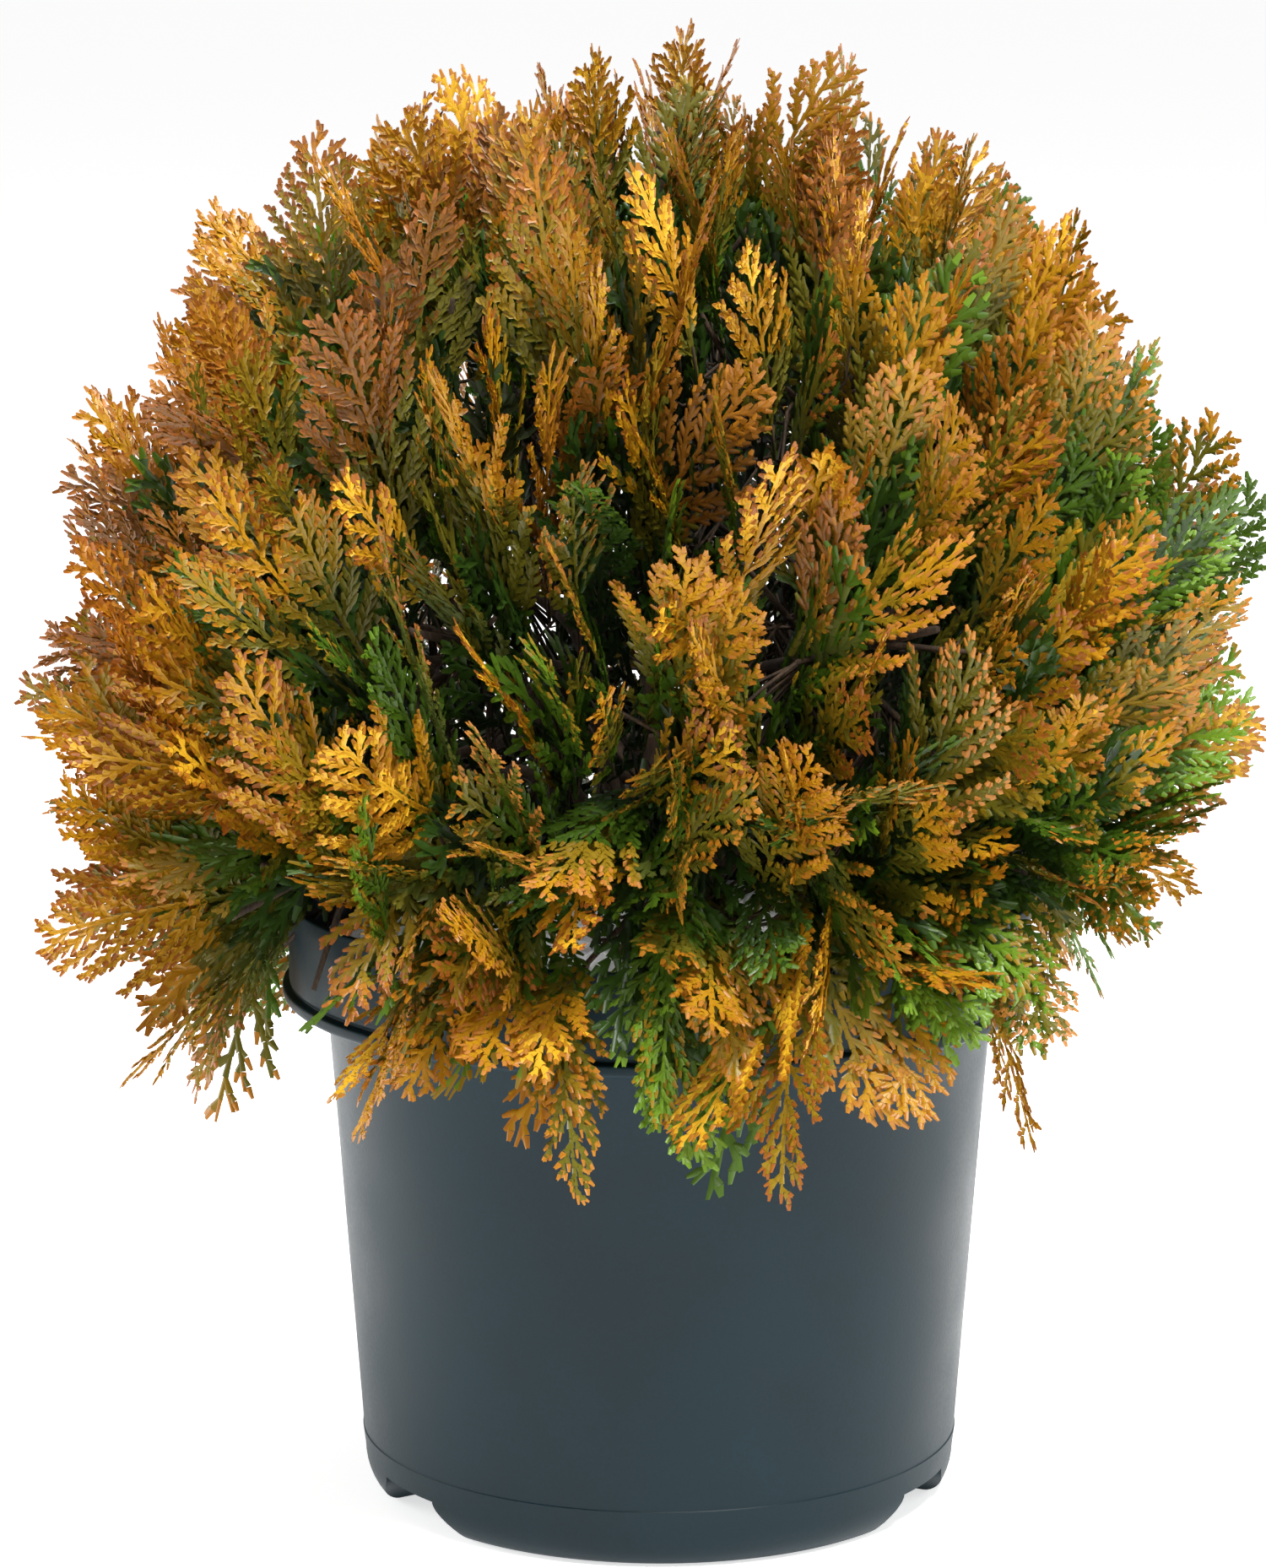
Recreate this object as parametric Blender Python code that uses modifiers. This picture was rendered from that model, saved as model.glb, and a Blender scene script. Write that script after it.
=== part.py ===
# Potted globe arborvitae: a round nursery pot, its root ball, a short trunk that forks low,
# and for each mass of foliage one bough that carries it.
# Metres, +Z up. The origin is the centre of the pot's flat underside, and -Y is the front.

import math
import random

import bmesh
import bpy
from mathutils import Matrix, Vector

OBJECT_NAME = "potted_globe_arborvitae"
SEED = 41
FIT_GAP = 0.0003  # between neighbouring solids
GOLDEN_ANGLE = math.radians(137.508)

# Pot
POT_HEIGHT = 0.184
POT_SIDES = 36
WALL = 0.0018
FLOOR = 0.0022
BEAD_RADIUS = 0.1140
LIP_RADIUS = 0.1120
SHOULDER_Z = 0.1536  # lower edge of the bead round the lip
BEAD_HEIGHT = 0.0044
BODY_TOP_RADIUS = 0.1007
BODY_FOOT_RADIUS = 0.0894  # where the straight wall would meet the ground
FLAT_RADIUS = 0.0825  # flat part of the underside
FOOT_ROUND_HEIGHT = 0.012
EDGE_ROUND = 0.0006

# Recesses between the pot's three wide feet
RECESS_HEIGHT = 0.0108
RECESS_TOP_HALF_WIDTH = 0.0135
RECESS_FOOT_HALF_WIDTH = 0.0222
RECESS_INNER_RADIUS = 0.055
RECESS_AZIMUTHS = (-57.0, 63.0, 183.0)
RECESS_STEPS = 5
DRAIN_RADIUS = 0.005
DRAIN_CENTRE_RADIUS = 0.070

# Root ball and trunk
SOIL_TOP = 0.164
TRUNK_TOP = 0.232
TRUNK_LEAN = Vector((-0.003, 0.002, 0.0))  # how far the top stands off the foot
FLARE_RADIUS = 0.0135
TRUNK_FOOT_RADIUS = 0.0088
TRUNK_TOP_RADIUS = 0.0068
FLARE_HEIGHT = 0.014

# Crown. A reach is how far the tips stand from the crown's centre.
CROWN_CENTRE = Vector((0.0, 0.0, 0.245))
REACH_TOP = 0.205
LEVEL_REACH = {"front": 0.184, "right": 0.190, "back": 0.188, "left": 0.200}
LOW_REACH = {"front": 0.178, "right": 0.158, "back": 0.172, "left": 0.196}
LOW_ELEVATION = 32.0  # degrees below level where the low reach holds in full
OUTLINE_DIP = 0.05  # how much the outline dips between two masses
FULL_DEPTH = 0.26  # depth in a mass, as a share of the reach, where the dip has gone
INNER_REACH = 0.060  # boughs end here, and masses begin
CORE_INNER = 0.068
CORE_DEPTH = 0.042  # how far the cores stay inside the outline
CORE_CLEARANCE = 0.0022  # of a core from the edge of its own space
CORE_ABOVE_RIM = 0.012  # least height of a core's middle over the rim's zone
CORE_RUGGED = (0.84, 1.0)  # share of its space that each corner of a core reaches
SPRAY_CLEARANCE = 0.0018  # of a spray from the edge of its own space
LOWEST_TIP = 0.124

# Rings of masses: name, degrees above level, half height and half width in degrees, then
# the masses, evenly spaced from the first one's azimuth. Azimuth 0 is the front, 90 the right.
RINGS = (
    ("lower", -20.0, 21.0, 27.0, 2.0,
     ("front", "front_right", "back_right", "back", "back_left", "front_left")),
    ("middle", 15.0, 17.0, 27.0, 32.0,
     ("right_front", "right", "right_back", "left_back", "left", "left_front")),
    ("upper", 50.0, 17.0, 27.0, 40.0, ("front_right", "back_right", "back_left", "front_left")),
    ("top", 90.0, 20.0, 20.0, 0.0, ("crown",)),
)

# Boughs
BOUGH_START_Z = {"lower": 0.186, "middle": 0.203, "upper": 0.220}
BOUGH_FOOT_RADIUS = 0.0030
BOUGH_TIP_RADIUS = 0.0019
BOUGH_STEPS = 5
BOUGH_PULL = 0.4  # share of a bough's span over which each end holds its direction
LIMB_END = 0.0015  # straight stretch behind a limb's flat end

# Twigs and sprays of a mass
TWIGS = 5
SPRAYS_PER_TWIG = 3
STEM_RADIUS = 0.0024
TWIG_RADIUS = 0.0018
TWIG_TIP_RATIO = 0.55
FIRST_TWIG, LAST_TWIG = 0.3, 0.8  # how far up the stem twigs leave it
TWIG_STOPS_SHORT = 0.038  # of the outline
SPRAY_LENGTHS = (0.030, 0.070)
SPRAY_WIDTH_RATIO = 0.52
SPRAY_THICKNESS = 0.0014
LONG_TEETH = ((0.40, 0.50), (0.60, -0.48), (0.78, 0.34))  # tips along and across a spray
SHORT_TEETH = ((0.42, 0.50), (0.62, -0.48))
SPRAY_ANGLE = math.radians(48.0)
SPRAY_ANGLE_RANGE = (0.8, 1.3)
SPRAY_WANDER = 0.12
SPRAY_ROLL = 1.2  # radians either way off upright
SPRAY_SPACING = 0.008  # along a twig, from its tip
SPRAY_ROOT_DEPTH = 0.002
SPRAY_TRIES = 12
TIP_SPACING = 0.018
SAMPLE_STEP = 0.004  # along the edges of a spray, to test its place
REACH_STEP = 0.001  # along a ray, to find where it leaves the crown

# The zone round the pot's rim that stays free of foliage
RIM_ZONE_RADIUS = BEAD_RADIUS + 0.0045
RIM_ZONE_TOP = POT_HEIGHT + 0.005

COLOURS = {
    "pot": (0.026, 0.048, 0.062),
    "root_ball": (0.035, 0.022, 0.014),
    "wood": (0.17, 0.10, 0.06),
    "gold": (0.46, 0.27, 0.035),
    "bronze": (0.33, 0.15, 0.035),
    "olive": (0.22, 0.23, 0.045),
    "green": (0.10, 0.22, 0.030),
}
RING_COLOURS = {
    "lower": ("olive", "green", "green", "olive", "olive", "gold"),
    "middle": ("gold", "green", "olive", "gold", "bronze", "olive"),
    "upper": ("gold", "olive", "gold", "bronze"),
    "top": ("gold",),
}


# Scene set-up

def clear_scene():
    for scene_object in list(bpy.data.objects):
        bpy.data.objects.remove(scene_object, do_unlink=True)


def new_collection(name):
    collection = bpy.data.collections.new(name)
    bpy.context.scene.collection.children.link(collection)
    return collection


def add_object(name, data, collection):
    new_object = bpy.data.objects.new(name, data)
    collection.objects.link(new_object)
    return new_object


def material(name, colour, roughness):
    made = bpy.data.materials.new(name)
    made.use_nodes = True
    shader = made.node_tree.nodes["Principled BSDF"]
    shader.inputs["Base Color"].default_value = (*COLOURS[colour], 1.0)
    shader.inputs["Roughness"].default_value = roughness
    shader.inputs["Metallic"].default_value = 0.0
    made.diffuse_color = (*COLOURS[colour], 1.0)
    return made


def hide_cutter(cutter):
    cutter.hide_render = True
    cutter.display_type = "WIRE"


def cut(target, cutter):
    modifier = target.modifiers.new(f"cut {cutter.name}", "BOOLEAN")
    modifier.operation = "DIFFERENCE"
    modifier.object = cutter
    modifier.solver = "EXACT"


def mesh_from(source, name):
    """The evaluated mesh of an object, with its loose caps welded."""
    graph = bpy.context.evaluated_depsgraph_get()
    mesh = bpy.data.meshes.new_from_object(source.evaluated_get(graph))
    mesh.name = name
    shape = bmesh.new()
    shape.from_mesh(mesh)
    bmesh.ops.remove_doubles(shape, verts=shape.verts, dist=1e-6)
    bmesh.ops.recalc_face_normals(shape, faces=shape.faces)
    shape.to_mesh(mesh)
    shape.free()
    return mesh


# Pot and root ball

def turned(name, profile, collection):
    """A solid turned about Z from (radius, height) points that run from top to bottom."""
    mesh = bpy.data.meshes.new(name)
    edges = [(i, i + 1) for i in range(len(profile) - 1)]
    mesh.from_pydata([(radius, 0.0, height) for radius, height in profile], edges, [])
    solid = add_object(name, mesh, collection)
    screw = solid.modifiers.new("turn", "SCREW")
    screw.axis = "Z"
    screw.steps = POT_SIDES
    screw.render_steps = POT_SIDES
    screw.use_merge_vertices = True
    screw.merge_threshold = 1e-5
    screw.use_smooth_shade = False
    return solid


def body_radius(height):
    """Radius of the pot's straight wall at a height."""
    slope = (BODY_TOP_RADIUS - BODY_FOOT_RADIUS) / SHOULDER_Z
    return BODY_FOOT_RADIUS + slope * height


def foot_arc(inset, floor_z, steps=3):
    """The rounded edge between wall and underside, from the wall down to the flat."""
    wall_radius = body_radius(FOOT_ROUND_HEIGHT) - inset
    flat_radius = FLAT_RADIUS - inset
    points = []
    for step in range(steps + 1):
        turn = math.pi / 2 * (1 - step / steps)
        radius = flat_radius + (wall_radius - flat_radius) * math.sin(turn)
        height = floor_z + (FOOT_ROUND_HEIGHT - floor_z) * (1 - math.cos(turn))
        points.append((radius, height))
    return points


def pot_outline():
    bead_top = SHOULDER_Z + BEAD_HEIGHT
    return [
        (0.0, POT_HEIGHT),
        (LIP_RADIUS - EDGE_ROUND, POT_HEIGHT),
        (LIP_RADIUS, POT_HEIGHT - EDGE_ROUND),
        (LIP_RADIUS, bead_top + EDGE_ROUND),
        (BEAD_RADIUS, bead_top - EDGE_ROUND),
        (BEAD_RADIUS, SHOULDER_Z + EDGE_ROUND),
        (BEAD_RADIUS - EDGE_ROUND, SHOULDER_Z),
        (BODY_TOP_RADIUS + WALL, SHOULDER_Z - EDGE_ROUND / 2),
        (BODY_TOP_RADIUS, SHOULDER_Z - WALL),
        *foot_arc(0.0, 0.0),
        (0.0, 0.0),
    ]


def cavity_outline(inset, top):
    """The inside of the pot's wall, drawn in by the inset and open or filled up to top."""
    wall = WALL + inset
    return [
        (0.0, top),
        (LIP_RADIUS - wall, top),
        (LIP_RADIUS - wall, SHOULDER_Z + wall + EDGE_ROUND),
        (BODY_TOP_RADIUS - wall, SHOULDER_Z + wall),
        *foot_arc(wall, FLOOR + inset),
        (0.0, FLOOR + inset),
    ]


def recess_outline(growth):
    """Half-width and height points of a recess, seen from outside, grown evenly."""
    side = []
    for step in range(RECESS_STEPS + 1):
        rise = step / RECESS_STEPS
        eased = rise * rise * (3 - 2 * rise)
        half_width = RECESS_FOOT_HALF_WIDTH
        half_width += (RECESS_TOP_HALF_WIDTH - RECESS_FOOT_HALF_WIDTH) * eased
        side.append((half_width + growth, (RECESS_HEIGHT + growth) * rise))
    below = (RECESS_FOOT_HALF_WIDTH + growth, -FOOT_ROUND_HEIGHT)
    right = [below, *side]
    left = [(-half_width, height) for half_width, height in reversed(right)]
    return right + left


def recess(name, azimuth, growth, collection):
    """A channel that runs radially under the pot's wall, as a flat outline extruded."""
    curve = bpy.data.curves.new(name, "CURVE")
    curve.dimensions = "2D"
    curve.fill_mode = "BOTH"
    inner = RECESS_INNER_RADIUS - growth
    outer = BEAD_RADIUS
    curve.extrude = (outer - inner) / 2
    outline = recess_outline(growth)
    spline = curve.splines.new("POLY")
    spline.points.add(len(outline) - 1)
    spline.use_cyclic_u = True
    for point, (across, height) in zip(spline.points, outline):
        point.co = (across, height, 0.0, 1.0)
    flat = add_object(name + "_outline", curve, collection)
    mesh = mesh_from(flat, name)
    bpy.data.objects.remove(flat, do_unlink=True)
    channel = add_object(name, mesh, collection)
    upright = Matrix.Rotation(math.pi / 2, 4, "X")
    outward = Matrix.Translation((0.0, -(inner + outer) / 2, 0.0))
    turn = Matrix.Rotation(math.radians(azimuth), 4, "Z")
    channel.matrix_world = turn @ outward @ upright
    hide_cutter(channel)
    return channel


def drain(index, azimuth, collection):
    turn = math.radians(azimuth)
    bpy.ops.mesh.primitive_cylinder_add(
        vertices=12,
        radius=DRAIN_RADIUS,
        depth=4 * WALL,
        location=(
            DRAIN_CENTRE_RADIUS * math.sin(turn),
            -DRAIN_CENTRE_RADIUS * math.cos(turn),
            RECESS_HEIGHT + WALL / 2,
        ),
    )
    hole = bpy.context.object
    hole.name = f"drain_cutter_{index + 1}"
    for holder in list(hole.users_collection):
        holder.objects.unlink(hole)
    collection.objects.link(hole)
    hide_cutter(hole)
    return hole


def build_pot(parts, cutters):
    cavity = turned("cavity_cutter", cavity_outline(0.0, POT_HEIGHT + WALL), cutters)
    hide_cutter(cavity)
    pot = turned("pot", pot_outline(), parts)
    ball = turned("root_ball", cavity_outline(FIT_GAP, SOIL_TOP), parts)
    recesses = []
    for index, azimuth in enumerate(RECESS_AZIMUTHS):
        ceiling = recess(f"ceiling_cutter_{index + 1}", azimuth, WALL, cutters)
        cut(cavity, ceiling)
        grown = recess(f"soil_cutter_{index + 1}", azimuth, WALL + FIT_GAP, cutters)
        cut(ball, grown)
        recesses.append(recess(f"recess_cutter_{index + 1}", azimuth, 0.0, cutters))
    cut(pot, cavity)
    for index, azimuth in enumerate(RECESS_AZIMUTHS):
        cut(pot, recesses[index])
        cut(pot, drain(index, azimuth, cutters))
    pot.data.materials.append(material("pot plastic", "pot", 0.42))
    ball.data.materials.append(material("potting soil", "root_ball", 0.95))


# Trunk and boughs

def limb(name, points, radii, resolution, collection):
    """A tapering round limb through the points, with flat ends."""
    curve = bpy.data.curves.new(name, "CURVE")
    curve.dimensions = "3D"
    curve.bevel_depth = 1.0
    curve.bevel_resolution = resolution
    curve.use_fill_caps = True
    spline = curve.splines.new("POLY")
    spline.points.add(len(points) - 1)
    for point, place, radius in zip(spline.points, points, radii):
        point.co = (*place, 1.0)
        point.radius = radius
    return add_object(name, curve, collection)


def trunk_axis(height):
    """Centre of the trunk at a height, leaning more the higher it gets."""
    rise = (height - SOIL_TOP) / (TRUNK_TOP - SOIL_TOP)
    return Vector((0.0, 0.0, height)) + TRUNK_LEAN * rise * rise


def trunk_radius(height):
    rise = (height - SOIL_TOP) / (TRUNK_TOP - SOIL_TOP)
    flare = max(0.0, 1 - (height - SOIL_TOP) / FLARE_HEIGHT) ** 2
    straight = TRUNK_FOOT_RADIUS + (TRUNK_TOP_RADIUS - TRUNK_FOOT_RADIUS) * rise
    return straight + (FLARE_RADIUS - TRUNK_FOOT_RADIUS) * flare


def build_trunk(parts, wood):
    foot = SOIL_TOP + FIT_GAP
    heights = [foot, foot + LIMB_END]
    heights += [SOIL_TOP + FLARE_HEIGHT * step / 4 for step in range(1, 5)]
    heights += [TRUNK_TOP - 0.036, TRUNK_TOP - 0.018, TRUNK_TOP]
    points = [trunk_axis(height) for height in heights]
    points[0] = Vector((points[1].x, points[1].y, foot))
    trunk = limb("trunk", points, [trunk_radius(height) for height in heights], 4, parts)
    trunk.data.materials.append(wood)


def bough_start(mass):
    """Foot of a bough on the trunk, with the way it leaves."""
    if mass["ring"] == "top":
        top = trunk_axis(TRUNK_TOP)
        return top + Vector((0.0, 0.0, FIT_GAP)), Vector((0.0, 0.0, 1.0))
    height = BOUGH_START_Z[mass["ring"]]
    away = azimuth_direction(mass["azimuth"])
    return trunk_axis(height) + away * (trunk_radius(height) + FIT_GAP), away


def build_bough(mass, parts, wood):
    foot, away = bough_start(mass)
    tip = CROWN_CENTRE + mass["axis"] * (INNER_REACH - FIT_GAP)
    pull = (tip - foot).length * BOUGH_PULL
    first, second = foot + away * pull, tip - mass["axis"] * pull
    points = [foot, foot + away * LIMB_END]
    for step in range(1, BOUGH_STEPS):
        t = step / BOUGH_STEPS
        s = 1 - t
        place = foot * s**3 + first * (3 * s * s * t) + second * (3 * s * t * t) + tip * t**3
        points.append(place)
    points += [tip - mass["axis"] * LIMB_END, tip]
    last = len(points) - 1
    taper = (BOUGH_TIP_RADIUS - BOUGH_FOOT_RADIUS) / last
    radii = [BOUGH_FOOT_RADIUS + taper * index for index in range(last + 1)]
    bough = limb(f"bough_{mass['name']}", points, radii, 1, parts)
    bough.data.materials.append(wood)


# Crown: where each mass may grow

def azimuth_direction(azimuth):
    turn = math.radians(azimuth)
    return Vector((math.sin(turn), -math.cos(turn), 0.0))


def direction(azimuth, elevation):
    rise = math.radians(elevation)
    return azimuth_direction(azimuth) * math.cos(rise) + Vector((0.0, 0.0, math.sin(rise)))


def plan_masses():
    masses = []
    for ring, elevation, half_height, half_width, first, names in RINGS:
        for index, name in enumerate(names):
            azimuth = first + 360.0 * index / len(names)
            axis = direction(azimuth, elevation)
            across = azimuth_direction(azimuth + 90.0)
            masses.append({
                "name": f"{ring}_{name}",
                "ring": ring,
                "azimuth": azimuth,
                "axis": axis,
                "across": across,
                "upward": across.cross(axis).normalized(),
                "half_height": math.tan(math.radians(half_height)),
                "half_width": math.tan(math.radians(half_width)),
                "colour": RING_COLOURS[ring][index],
            })
    return masses


def side_blend(reaches, way):
    """A reach between those of the two sides that a direction lies between."""
    side = reaches["right"] if way.x > 0 else reaches["left"]
    depth = reaches["back"] if way.y > 0 else reaches["front"]
    level = way.x**2 + way.y**2
    share = way.x**2 / level if level > 1e-9 else 0.0
    return side * share + depth * (1 - share)


def space_depth(offset, mass, masses):
    """How far a place, given from the crown's centre, lies inside the mass's own space."""
    depth = math.inf
    for other in masses:
        if other is not mass:
            apart = mass["axis"] - other["axis"]
            depth = min(depth, offset.dot(apart) / apart.length)
    return depth


def crown_reach(way, mass, masses):
    """How far the outline stands from the crown's centre along a direction."""
    reach = side_blend(LEVEL_REACH, way)
    if way.z > 0:
        reach += (REACH_TOP - reach) * way.z**2
    else:
        low = min(1.0, -way.z / math.sin(math.radians(LOW_ELEVATION)))
        reach += (side_blend(LOW_REACH, way) - reach) * low * low * (3 - 2 * low)
    middle = min(1.0, max(0.0, space_depth(way, mass, masses)) / FULL_DEPTH)
    return reach * (1 - OUTLINE_DIP * (1 - middle))


def in_space(place, mass, masses, clearance):
    """True where foliage of the mass may be: in its own space and clear of limbs and rim."""
    offset = place - CROWN_CENTRE
    if offset.length < INNER_REACH + 0.002 or place.z < LOWEST_TIP:
        return False
    if place.z < RIM_ZONE_TOP and math.hypot(place.x, place.y) < RIM_ZONE_RADIUS:
        return False
    return space_depth(offset, mass, masses) > clearance


# Crown: what grows in a mass

def core_mesh(mass, masses, rng):
    """A rugged lump that fills the middle of the mass's space."""
    shape = bmesh.new()
    bmesh.ops.create_icosphere(shape, subdivisions=2, radius=1.0)
    reach = crown_reach(mass["axis"], mass, masses) - CORE_DEPTH
    middle = CROWN_CENTRE + mass["axis"] * (CORE_INNER + reach) / 2
    middle.z = max(middle.z, RIM_ZONE_TOP + CORE_ABOVE_RIM)
    for vertex in shape.verts:
        way = vertex.co.normalized()
        distance = 0.0
        for step in range(1, round(REACH_TOP / REACH_STEP)):
            trial = step * REACH_STEP
            place = middle + way * trial
            offset = place - CROWN_CENTRE
            outward = offset.normalized()
            if (
                offset.dot(mass["axis"]) < CORE_INNER
                or offset.length > crown_reach(outward, mass, masses) - CORE_DEPTH
                or place.z < RIM_ZONE_TOP
                or space_depth(offset, mass, masses) < CORE_CLEARANCE
            ):
                break
            distance = trial
        vertex.co = middle + way * distance * rng.uniform(*CORE_RUGGED)
    mesh = bpy.data.meshes.new(f"foliage_{mass['name']}")
    shape.to_mesh(mesh)
    shape.free()
    return mesh


def spray_outline(teeth):
    """A toothed blade one unit long and one wide, with teeth on alternate sides."""
    sides = {1: [], -1: []}
    for along, across in teeth:
        side = 1 if across > 0 else -1
        sides[side] += [(along, across), (along + 0.04, across * 0.3)]
    return [(0.0, 0.0), *sides[-1], (1.0, 0.0), *reversed(sides[1])]


def spray_mesh(teeth):
    curve = bpy.data.curves.new("spray", "CURVE")
    curve.dimensions = "2D"
    curve.fill_mode = "BOTH"
    curve.extrude = 0.5
    outline = spray_outline(teeth)
    spline = curve.splines.new("POLY")
    spline.points.add(len(outline) - 1)
    spline.use_cyclic_u = True
    for point, place in zip(spline.points, outline):
        point.co = (*place, 0.0, 1.0)
    flat = add_object("spray_outline", curve, bpy.context.scene.collection)
    mesh = mesh_from(flat, "spray")
    bpy.data.objects.remove(flat, do_unlink=True)
    return mesh


def twig_mesh():
    """A three-sided taper one unit long along +X with a radius of one at its foot."""
    shape = bmesh.new()
    bmesh.ops.create_cone(
        shape, cap_ends=True, segments=3, radius1=1.0, radius2=TWIG_TIP_RATIO, depth=1.0
    )
    bmesh.ops.translate(shape, verts=shape.verts, vec=(0.0, 0.0, 0.5))
    bmesh.ops.rotate(
        shape, verts=shape.verts, cent=(0, 0, 0), matrix=Matrix.Rotation(math.pi / 2, 3, "Y")
    )
    mesh = bpy.data.meshes.new("twig")
    shape.to_mesh(mesh)
    shape.free()
    return mesh


def frame_along(foot, along, normal):
    """A placing matrix with X along the growth and Z along the given normal."""
    x = along.normalized()
    z = (normal - x * normal.dot(x)).normalized()
    y = z.cross(x)
    return Matrix.Translation(foot) @ Matrix((x, y, z)).transposed().to_4x4()


def upright_normal(along, roll):
    """Normal of an upright blade that grows along a direction, rolled about it."""
    level = along.cross(Vector((0.0, 0.0, 1.0)))
    if level.length < 0.05:
        level = Vector((1.0, 0.0, 0.0))
    return Matrix.Rotation(roll, 3, along) @ level.normalized()


def length_to_outline(foot, along, mass, masses):
    """Length of a spray that just reaches the outline, or as long as sprays get."""
    longest = SPRAY_LENGTHS[1]
    for step in range(1, round(longest / REACH_STEP) + 1):
        offset = foot + along * (step * REACH_STEP) - CROWN_CENTRE
        if offset.length > crown_reach(offset.normalized(), mass, masses):
            return (step - 1) * REACH_STEP
    return longest


def spray_fits(placing, length, mass, masses):
    """Tests the blade's edges and spine, a few millimetres at a time."""
    outline = [
        Vector((along * length, across * length * SPRAY_WIDTH_RATIO, 0.0))
        for along, across in spray_outline(LONG_TEETH)
    ]
    for index, corner in enumerate(outline):
        for end in (outline[(index + 1) % len(outline)], Vector((0.5 * length, 0.0, 0.0))):
            steps = max(1, math.ceil((end - corner).length / SAMPLE_STEP))
            for step in range(steps + 1):
                place = placing @ corner.lerp(end, step / steps)
                if not in_space(place, mass, masses, SPRAY_CLEARANCE):
                    return False
    return True


def twig_aims(mass):
    """Where the twigs head, spread evenly over the outer face of the mass."""
    aims = []
    for index in range(TWIGS):
        spread = math.sqrt((index + 0.5) / TWIGS)
        turn = index * GOLDEN_ANGLE + math.radians(mass["azimuth"])
        aim = mass["axis"]
        aim = aim + mass["across"] * (mass["half_width"] * spread * math.cos(turn))
        aim = aim + mass["upward"] * (mass["half_height"] * spread * math.sin(turn))
        aims.append((aim.normalized(), spread))
    return aims


def path_clear(start, end, mass, masses, clearance):
    steps = max(1, math.ceil((end - start).length / SAMPLE_STEP))
    return all(
        in_space(start.lerp(end, step / steps), mass, masses, clearance)
        for step in range(steps + 1)
    )


def grow_twigs(mass, masses):
    """The stem, and the twigs that branch from it as (foot, tip, aim on the outline)."""
    start = CROWN_CENTRE + mass["axis"] * INNER_REACH
    reach = crown_reach(mass["axis"], mass, masses)
    end = CROWN_CENTRE + mass["axis"] * (reach - TWIG_STOPS_SHORT)
    clearance = SPRAY_CLEARANCE + TWIG_RADIUS
    twigs = []
    for aim, spread in twig_aims(mass):
        reach = crown_reach(aim, mass, masses)
        target = CROWN_CENTRE + aim * reach
        share = FIRST_TWIG + (LAST_TWIG - FIRST_TWIG) * (1 - spread)
        foot, tip = start.lerp(end, share), CROWN_CENTRE + aim * (reach - TWIG_STOPS_SHORT)
        while share < 1.0 and not path_clear(foot, tip, mass, masses, clearance):
            share = min(1.0, share + 0.1)
            foot = start.lerp(end, share)
        while not path_clear(foot, tip, mass, masses, clearance):
            tip = tip.lerp(foot, 0.15)
        twigs.append((foot, tip, target))
    return (start, end), twigs


def grow_sprays(mass, masses, twigs, rng):
    """Placed blades along the twigs: one at each tip and one from each side of it."""
    sprays, tips = [], []
    for foot, tip, target in twigs:
        for index in range(SPRAYS_PER_TWIG):
            back = SPRAY_ROOT_DEPTH + SPRAY_SPACING * index
            root = tip.lerp(foot, min(1.0, back / (tip - foot).length))
            along = (target - root).normalized()
            side = (0, 1, -1)[index % 3]
            for attempt in range(SPRAY_TRIES):
                roll = rng.uniform(-SPRAY_ROLL, SPRAY_ROLL)
                normal = upright_normal(along, roll)
                spread = SPRAY_ANGLE * side * rng.uniform(*SPRAY_ANGLE_RANGE)
                spread += rng.uniform(-SPRAY_WANDER, SPRAY_WANDER)
                way = (Matrix.Rotation(spread, 3, normal) @ along).normalized()
                length = length_to_outline(root, way, mass, masses)
                placing = frame_along(root, way, normal)
                end = root + way * length
                crowded = any((end - other).length < TIP_SPACING for other in tips)
                if length < SPRAY_LENGTHS[0] or crowded:
                    continue
                if spray_fits(placing, length, mass, masses):
                    size = (length, length * SPRAY_WIDTH_RATIO, SPRAY_THICKNESS)
                    sprays.append((placing @ Matrix.Diagonal((*size, 1.0)), index == 0))
                    tips.append(end)
                    break
    return sprays


def keep_main_body(mesh):
    """Drops loose scraps and the walls of sealed hollows, and welds stray points."""
    shape = bmesh.new()
    shape.from_mesh(mesh)
    bmesh.ops.remove_doubles(shape, verts=shape.verts, dist=2e-6)
    bmesh.ops.dissolve_degenerate(shape, edges=shape.edges, dist=2e-6)
    islands, seen = [], set()
    for first in shape.faces:
        if first in seen:
            continue
        island, queue = [], [first]
        seen.add(first)
        while queue:
            face = queue.pop()
            island.append(face)
            for edge in face.edges:
                for linked in edge.link_faces:
                    if linked not in seen:
                        seen.add(linked)
                        queue.append(linked)
        islands.append(island)
    islands.sort(key=len, reverse=True)
    extra = [face for island in islands[1:] for face in island]
    if extra:
        bmesh.ops.delete(shape, geom=extra, context="FACES")
        loose = [vertex for vertex in shape.verts if not vertex.link_faces]
        bmesh.ops.delete(shape, geom=loose, context="VERTS")
    bmesh.ops.triangulate(shape, faces=shape.faces)
    shape.to_mesh(mesh)
    shape.free()


def is_closed(mesh):
    shape = bmesh.new()
    shape.from_mesh(mesh)
    closed = all(edge.is_manifold for edge in shape.edges) and shape.calc_volume() > 0
    shape.free()
    return closed


def fuse(core, pieces, solver):
    """The union of a core with the twigs and sprays of its mass."""
    union = core.modifiers.new("fuse", "BOOLEAN")
    union.operation = "UNION"
    union.operand_type = "COLLECTION"
    union.collection = pieces
    union.solver = solver
    graph = bpy.context.evaluated_depsgraph_get()
    graph.update()
    fused = bpy.data.meshes.new_from_object(core.evaluated_get(graph))
    core.modifiers.clear()
    keep_main_body(fused)
    return fused


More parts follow.
